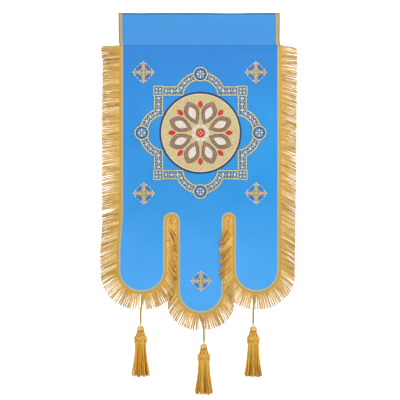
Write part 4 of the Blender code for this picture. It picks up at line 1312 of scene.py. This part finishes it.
# Small crosses
# Five traditional crosses with pointed, barbed arms round a lattice, two pale petals beside each tip and a
# blue boss in each angle. Tan, cream and orange satin stitch, worked like the frame.
CROSS_REACH = 0.0425
CROSS_CENTRES = {
    "cross_top_left": (-0.213, -0.221),
    "cross_top_right": (0.209, -0.221),
    "cross_low_left": (-0.211, -0.675),
    "cross_low_right": (0.210, -0.675),
    "cross_tongue": (0.003, -1.003),
}
TONGUE_CROSS_SCALE = 0.94
LATTICE_REACH, LATTICE_LINE, LATTICE_OFFSET = 0.0215, 0.0026, 0.92
PETAL_ENDS = ((0.0352, 0.0050), (0.0290, 0.0140))
PETAL_WIDTH, PETAL_SHADE = 0.0046, 0.0020
POINT_START, POINT_HALF_WIDTH = 0.0330, 0.0034
EYE_DISTANCE, EYE_SIZE = 0.0096, 0.0027
BARB = ((0.0240, 0.0), (0.0285, -0.0046), (0.0330, -0.0056), (0.0330, -0.0030), (0.0355, 0.0),
        (0.0330, 0.0030), (0.0330, 0.0056), (0.0285, 0.0046))
ARM = ((0.0130, -0.0056), (0.0200, -0.0050), (0.0295, -0.0048),
       (0.0295, 0.0048), (0.0200, 0.0050), (0.0130, 0.0056))


def on_cross(centre, scale, x, y, degrees):
    """Where a point of the cross's drawing lies on the cloth, once the drawing is sized and turned."""
    return centre + turned(Vector((x, y)) * scale, degrees)


# Rayon thread in the colours that only the crosses have.
lattice_thread = thread_finish("old gold rayon lattice stitches", "BCA468", "D8C28C", "786638", 0.0014)
arm_thread = thread_finish("golden tan rayon stitches", "C8A262", "DEBE88", "8E7240", 0.0014)
violet_thread = thread_finish("pale violet rayon stitches", "7C90D4", "A8B4E8", "5468B0", 0.0014)
white_thread = thread_finish("off white rayon outline stitches", "CCCCAC", "E6E4C6", "8E8E70", 0.0014)
steel_thread = thread_finish("steel blue rayon stitches", "487098", "7094B4", "34507C", 0.0014)
olive_thread = thread_finish("dark olive rayon knots", "3A4228", "5C5C38", "222A1C", 0.0014)
AnglePad = namedtuple("AnglePad", "kind distance half_length half_width height lift finish")
ANGLE_PADS = (  # in each angle between two arms, with heights as shares of a stitch's
    AnglePad("hollows", 0.0232, 0.0090, 0.0050, 0.60, 0.0, steel_thread),
    AnglePad("bosses", 0.0296, 0.0070, 0.0022, 0.80, 0.35, violet_thread),
    AnglePad("blushes", 0.0322, 0.0024, 0.0014, 0.60, 0.90, peach_thread),
)
for name, place in CROSS_CENTRES.items():
    centre = Vector(place)
    scale = TONGUE_CROSS_SCALE if name == "cross_tongue" else 1.0
    lines, shades, tips, whites, arms, eyes = [], [], [], [], [], []
    diamond = [on_cross(centre, scale, LATTICE_REACH, 0, degrees) for degrees in (0, 90, 180, 270)]
    lines.append(stitched_patch(diamond, STITCH_HEIGHT * 0.8, 45))
    shades.append(stitched_line(diamond, SHADE_WIDTH * 0.5, LOW_STITCH, True))
    near = LATTICE_REACH / 2
    for degrees, raised in ((0, 1.10), (90, 1.25)):
        for offset in (-LATTICE_OFFSET, 0.0, LATTICE_OFFSET):
            shift = offset * LATTICE_REACH / 2
            start = on_cross(centre, scale, -near + shift, -near - shift, degrees)
            end = on_cross(centre, scale, near + shift, near - shift, degrees)
            line = [start.lerp(end, i / 4) for i in range(5)]
            rows = lines if offset == 0 else whites
            rows.append(stitched_line(line, LATTICE_LINE * scale, STITCH_HEIGHT * raised))
    for degrees in (0, 90, 180, 270):
        barb, arm = ([on_cross(centre, scale, x, y, degrees) for x, y in form] for form in (BARB, ARM))
        tips.append(stitched_patch(barb, STITCH_HEIGHT * 1.3, degrees))
        arms.append(stitched_patch(arm, STITCH_HEIGHT * 1.2, degrees + 90))
        point_sizes = (POINT_START * scale, CROSS_REACH * scale, POINT_HALF_WIDTH * scale)
        point = leaf(centre, degrees, *point_sizes, 6, 0.35)
        whites.append(stitched_patch(point, STITCH_HEIGHT, degrees))
        for side in (-1, 1):
            near_tip, beside = (on_cross(centre, scale, x, side * y, degrees) for x, y in PETAL_ENDS)
            petal = [near_tip.lerp(beside, i / 4) for i in range(5)]
            whites.append(stitched_line(petal, PETAL_WIDTH * scale, STITCH_HEIGHT))
            shades.append(stitched_line(petal, PETAL_WIDTH * scale + PETAL_SHADE, LOW_STITCH))
        eyes.append((on_cross(centre, scale, EYE_DISTANCE, 0, degrees + 45), 0, EYE_SIZE, EYE_SIZE))
    cross = add_piece(name + "_lattice", lines, lattice_thread)
    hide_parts(name)
    for kind, parts, finish in (("_shading", shades, navy_thread), ("_arms", arms, arm_thread),
                                ("_barbs", tips, orange_thread), ("_points", whites, white_thread)):
        add_piece(name + kind, parts, finish)
    for pad in ANGLE_PADS:
        rows = [(on_cross(centre, scale, pad.distance, 0, degrees + 45), degrees + 135,
                 pad.half_length * scale, pad.half_width * scale) for degrees in (0, 90, 180, 270)]
        height, lift = STITCH_HEIGHT * pad.height, STITCH_HEIGHT * pad.lift
        pads(f"{name}_{pad.kind}", rows, 0.0, height, lift, pad.finish)
    pads(name + "_eyes", eyes, 0.0, STITCH_HEIGHT * 0.7, STITCH_HEIGHT * 0.95, olive_thread)


# Tassels
# Three tassels of metallised yarn, each a ruffled cap over a bound neck, a netted cone and a cut skirt.
# The skirt is loose yarn folded over a core. It hangs a little open and its ends are uneven.
CAP_LOOPS = 7
NET_YARNS = 8
NET_TURN = 1.15  # radians that a net yarn turns from the neck to the binding
SKIRT_PITCH = 0.00135
SKIRT_RADIUS = 0.00062
Layer = namedtuple("Layer", "inset drop")
SKIRT_LAYERS = (Layer(0.0, 0.0), Layer(0.0022, 0.001), Layer(0.0050, 0.002), Layer(0.0090, 0.003),
                Layer(0.0135, 0.004))
SKIRT_CORNERS = 40  # of the ring that each layer grows from
CONE_PROFILE = (  # radius and drop below the tassel's top
    (0.0030, 0.0015), (0.0070, 0.005), (0.0100, 0.010), (0.0108, 0.014), (0.0112, 0.020), (0.0140, 0.028),
    (0.0185, 0.040), (0.0212, 0.050), (0.0220, 0.056), (0.0212, 0.061), (0.0190, 0.064), (0.0100, 0.066))
SKIRT_DROP, SKIRT_TOP_RADIUS = 0.0600, 0.0208
SKIRT_LENGTH, SKIRT_FLARE = 0.1300, 0.0132
CapTier = namedtuple("CapTier", "drop radius rise")
CAP_TIERS = (
    CapTier(0.0046, 0.0072, 0.0030),
    CapTier(0.0092, 0.0112, 0.0034),
    CapTier(0.0136, 0.0122, 0.0028),
)
CAP_YARN, CAP_BOW = 0.0013, 0.0026
NECK_RINGS = ((0.0175, 0.0116), (0.0199, 0.0121), (0.0223, 0.0126))  # drop and radius
NET_DROP, NET_RUN, NET_CLEAR, NET_OVER = 0.0235, 0.033, 0.0009, 0.0006
HEM_ARCS, HEM_RADIUS, HEM_DROP = 15, 0.0226, 0.0555
LOOP_PAIRS, LOOP_DROP, LOOP_BOW = 6, 0.0455, 0.0046


def around(top, radius, angle, drop):
    """The point at a radius, an angle and a drop below the tassel's top."""
    return Vector((top.x + radius * math.cos(angle), top.y + radius * math.sin(angle), top.z - drop))


def turned_form(top, profile, sides):
    """A closed turned form hung from its top point."""
    angles = [2 * math.pi * k / sides for k in range(sides)]
    verts = [around(top, 0, 0, profile[0][1])]
    verts += [around(top, radius, angle, drop) for radius, drop in profile for angle in angles]
    verts.append(around(top, 0, 0, profile[-1][1]))
    faces, uvs = [], []
    last = len(verts) - 1
    for k in range(sides):
        m = (k + 1) % sides
        end = 1 + (len(profile) - 1) * sides
        faces += [(0, 1 + m, 1 + k), (last, end + k, end + m)]
        uvs += [((0.0, 0.0),) * 3] * 2
        for ring in range(len(profile) - 1):
            a, b = 1 + ring * sides, 1 + (ring + 1) * sides
            faces.append((a + k, a + m, b + m, b + k))
            low, high = profile[ring][1], profile[ring + 1][1]
            left, right = 0.1 * k / sides, 0.1 * (k + 1) / sides
            uvs.append(((left, low), (right, low), (right, high), (left, high)))
    return verts, faces, uvs


def cone_radius(drop):
    """The radius of the tassel's cone at a drop below its top."""
    for (r1, d1), (r2, d2) in zip(CONE_PROFILE, CONE_PROFILE[1:], strict=False):
        if d1 <= drop <= d2:
            return r1 + (r2 - r1) * (drop - d1) / (d2 - d1)
    return CONE_PROFILE[-1][0]


# Metallised yarn in copies of different brightness: the core and neck painted darker for the shade under the
# cap and net, the net yarn painted bright for its highlights, the cap a pale cream-gold, and the skirt
# brown-gold in its gaps, where its inner layers are painted darker for the shade inside.
tassel_core = yarn_finish("wound metallised yarn core", "6A4204", "B47C18", "E8B244", 500.0, 0.10)
tassel_net = yarn_finish("bright metallised net yarn", "A87010", "F2BE44", "FFEA96", 700.0, 0.10)
tassel_cap = yarn_finish("pale metallised cap yarn", "B4862E", "FADA82", "FFF6C8", 600.0, 0.08)
skirt_gold = yarn_finish("metallised skirt yarn", "864F00", "FAB022", "FFE65E", 500.0, 0.04)

for name, tassel in TASSELS.items():
    top = Vector((tassel.tassel_x, cord_root(tassel).y, tassel.top_z))
    chance = random.Random(40 + len(name))
    core = add_piece(f"tassel_{name}_cone", [turned_form(top, CONE_PROFILE, 36)], tassel_core)
    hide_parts(f"tassel_{name}")
    cap_parts = []
    for number, tier in enumerate(CAP_TIERS):
        loops = CAP_LOOPS + 2 * number
        for loop in range(loops):
            angle = 2 * math.pi * (loop + 0.5 * number) / loops + chance.uniform(-0.1, 0.1)
            out = Vector((math.cos(angle), math.sin(angle), 0))
            side = Vector((-math.sin(angle), math.cos(angle), 0))
            line = []
            for step in range(9):
                swing = 2 * math.pi * step / 9
                away = tier.radius - 0.0012 + CAP_BOW * math.sin(swing / 2)
                height = Vector((0, 0, -tier.drop + tier.rise * math.sin(swing)))
                line.append(top + out * away + side * (CAP_BOW * math.cos(swing)) + height)
            cap_parts.append(tube(line, CAP_YARN, 5, True))
    add_piece(f"tassel_{name}_cap", cap_parts, tassel_cap)
    net_parts = []
    for hand in (-1, 1):
        for yarn in range(NET_YARNS):
            line = []
            for step in range(17):
                drop = NET_DROP + NET_RUN * step / 16
                angle = 2 * math.pi * yarn / NET_YARNS + hand * NET_TURN * step / 16
                radius = cone_radius(drop) + NET_CLEAR + (NET_OVER if hand > 0 else 0.0)
                line.append(around(top, radius, angle, drop))
            net_parts.append(tube(line, 0.0012, 5))
    for hem in range(HEM_ARCS):
        line = []
        for step in range(9):
            share = step / 8
            swing = 2 * math.pi * hem / HEM_ARCS + (share - 0.5) * 2 * math.pi / 12
            bow = math.sin(math.pi * share)
            drop = HEM_DROP + 0.0085 * bow + chance.uniform(0, 0.0006)
            line.append(around(top, HEM_RADIUS + 0.0014 * bow, swing, drop))
        net_parts.append(tube(line, 0.0012, 5))
    neck_parts = []
    for drop, radius in NECK_RINGS:
        ring = [around(top, radius, 2 * math.pi * k / 40, drop) for k in range(40)]
        neck_parts.append(tube(ring, CAP_YARN, 6, True))
    add_piece(f"tassel_{name}_neck", neck_parts, tassel_core)
    loop_parts = []
    for loop in range(2 * LOOP_PAIRS):
        under = loop % 2
        line = []
        for step in range(9):
            share = step / 8
            swing = 2 * math.pi * (loop // 2 + 0.25) / LOOP_PAIRS + (share - 0.5) * 2 * math.pi / 5
            drop = LOOP_DROP + (LOOP_BOW if under else -LOOP_BOW) * math.cos(math.pi * share)
            line.append(around(top, cone_radius(drop) + (0.0024 if under else 0.0034), swing, drop))
        loop_parts.append(tube(line, 0.0021, 6))
    add_piece(f"tassel_{name}_net", net_parts, tassel_net)
    add_piece(f"tassel_{name}_loops", loop_parts, tassel_net)
    points, bends, lifts, shades, edges = [], [], [], [], []
    for layer in SKIRT_LAYERS:
        radius = SKIRT_TOP_RADIUS - layer.inset
        flare = SKIRT_FLARE * radius / SKIRT_TOP_RADIUS
        first = len(points)
        for k in range(SKIRT_CORNERS):
            angle = 2 * math.pi * k / SKIRT_CORNERS
            points.append(around(top, radius, angle, SKIRT_DROP + layer.drop))
            bends.append((flare * math.cos(angle), flare * math.sin(angle), 0.0))
            lifts.append((math.cos(angle), math.sin(angle), 0.0))
            # Painted light and shade: the skirt's outer layer is painted lighter, its inner layers darker.
            shades.append(-0.12 if layer.inset == 0 else 0.45)
            edges.append((first + k, first + (k + 1) % SKIRT_CORNERS))
    count = len(points)
    path = point_mesh(f"skirt_{name}", points, edges, {
        "grow": [(0.0, 0.0, -1.0)] * count, "bend": bends, "reach": [1.0] * count, "lift": lifts,
        "density": [1.0] * count, "gather": [0.80] * count, "shade": shades})
    grown(f"tassel_{name}_skirt", path, strands, {
        "Pitch": SKIRT_PITCH, "Length": SKIRT_LENGTH, "Radius": SKIRT_RADIUS, "Unevenness": 0.085,
        "Clump Size": 2.8, "Clump Stray": 0.040, "Clump Tone": 0.7, "Stray": 0.016, "Wave": 0.0012,
        "Depth Stray": 0.0016, "Steps": 10, "Sides": 4, "Seed": 60 + len(name), "Clump Seed": 70 + len(name),
        "Finish": skirt_gold})


# Backdrop and lights
# A white paper sweep far behind and below the banner, lit through from behind so that it stays pure white.
# One wide key light stands high on the right, with a weak fill on the left and one under the tassels.
WALL_Y, FLOOR_Z, SWEEP_RADIUS = 6.8, -1.85, 1.6
SWEEP_WIDTH, WALL_TOP, FLOOR_FRONT = 30.0, 9.0, -9.0
GLOW_BEGINS, GLOW_FULL, GLOW = 0.8, 2.4, 0.66

paper, paper_tree = new_material("matt white backdrop paper")
paper_spot = add_node(paper_tree, "ShaderNodeTexCoord").outputs["Object"]
paper_glow = add_node(paper_tree, "ShaderNodeMapRange", {
    "Value": add_node(paper_tree, "ShaderNodeSeparateXYZ", {"Vector": paper_spot}).outputs["Y"],
    "From Min": GLOW_BEGINS, "From Max": GLOW_FULL, "To Max": GLOW}, interpolation_type="SMOOTHSTEP")
paper_grain = add_node(paper_tree, "ShaderNodeTexNoise", {"Vector": paper_spot, "Scale": 60.0, "Detail": 3.0})
paper_bump = add_node(paper_tree, "ShaderNodeBump", {
    "Height": paper_grain, "Strength": 0.02, "Distance": 0.001})
paper_shader = add_node(paper_tree, "ShaderNodeBsdfPrincipled", {
    "Base Color": linear("FBFBFB"), "Roughness": 0.95, "Specular IOR Level": 0.1, "Normal": paper_bump,
    "Emission Color": linear("FFFFFF"), "Emission Strength": paper_glow})
add_node(paper_tree, "ShaderNodeOutputMaterial", {"Surface": paper_shader})

line = [(WALL_Y, WALL_TOP)]
for step in range(13):
    angle = math.pi / 2 * step / 12
    line.append((WALL_Y - SWEEP_RADIUS + SWEEP_RADIUS * math.cos(angle),
                 FLOOR_Z + SWEEP_RADIUS - SWEEP_RADIUS * math.sin(angle)))
line.append((FLOOR_FRONT, FLOOR_Z))
sweep_mesh = bpy.data.meshes.new("backdrop")
sweep_mesh.from_pydata(
    [(x, y, z) for y, z in line for x in (-SWEEP_WIDTH / 2, SWEEP_WIDTH / 2)], [],
    [(2 * i, 2 * i + 1, 2 * i + 3, 2 * i + 2) for i in range(len(line) - 1)])
sweep_mesh.shade_smooth()
sweep_mesh.materials.append(paper)
backdrop = bpy.data.objects.new("backdrop", sweep_mesh)
bpy.context.scene.collection.objects.link(backdrop)

Light = namedtuple("Light", "name place aim size power")
LIGHTS = (
    Light("key", (1.0, -3.1, 2.0), (0.0, 0.0, -0.55), 1.6, 72),
    Light("fill", (-2.0, -3.0, 0.2), (0.0, 0.0, -0.75), 2.6, 20),
    Light("low", (0.6, -3.4, -1.5), (0.0, 0.0, -1.10), 1.6, 14),
    Light("back", (1.5, 3.5, 2.0), (0.0, 0.0, -0.55), 2.0, 18),
)
for light in LIGHTS:
    data = bpy.data.lights.new(light.name, "AREA")
    data.shape = "SQUARE"
    data.size = light.size
    data.energy = light.power
    lamp = bpy.data.objects.new(light.name, data)
    lamp.location = light.place
    lamp.rotation_euler = (Vector(light.aim) - Vector(light.place)).to_track_quat("-Z", "Y").to_euler()
    bpy.context.scene.collection.objects.link(lamp)

world = bpy.data.worlds.new("studio")
world.use_nodes = True
world.node_tree.nodes["Background"].inputs["Color"].default_value = (1.0, 1.0, 1.0, 1.0)
world.node_tree.nodes["Background"].inputs["Strength"].default_value = 0.45
bpy.context.scene.world = world
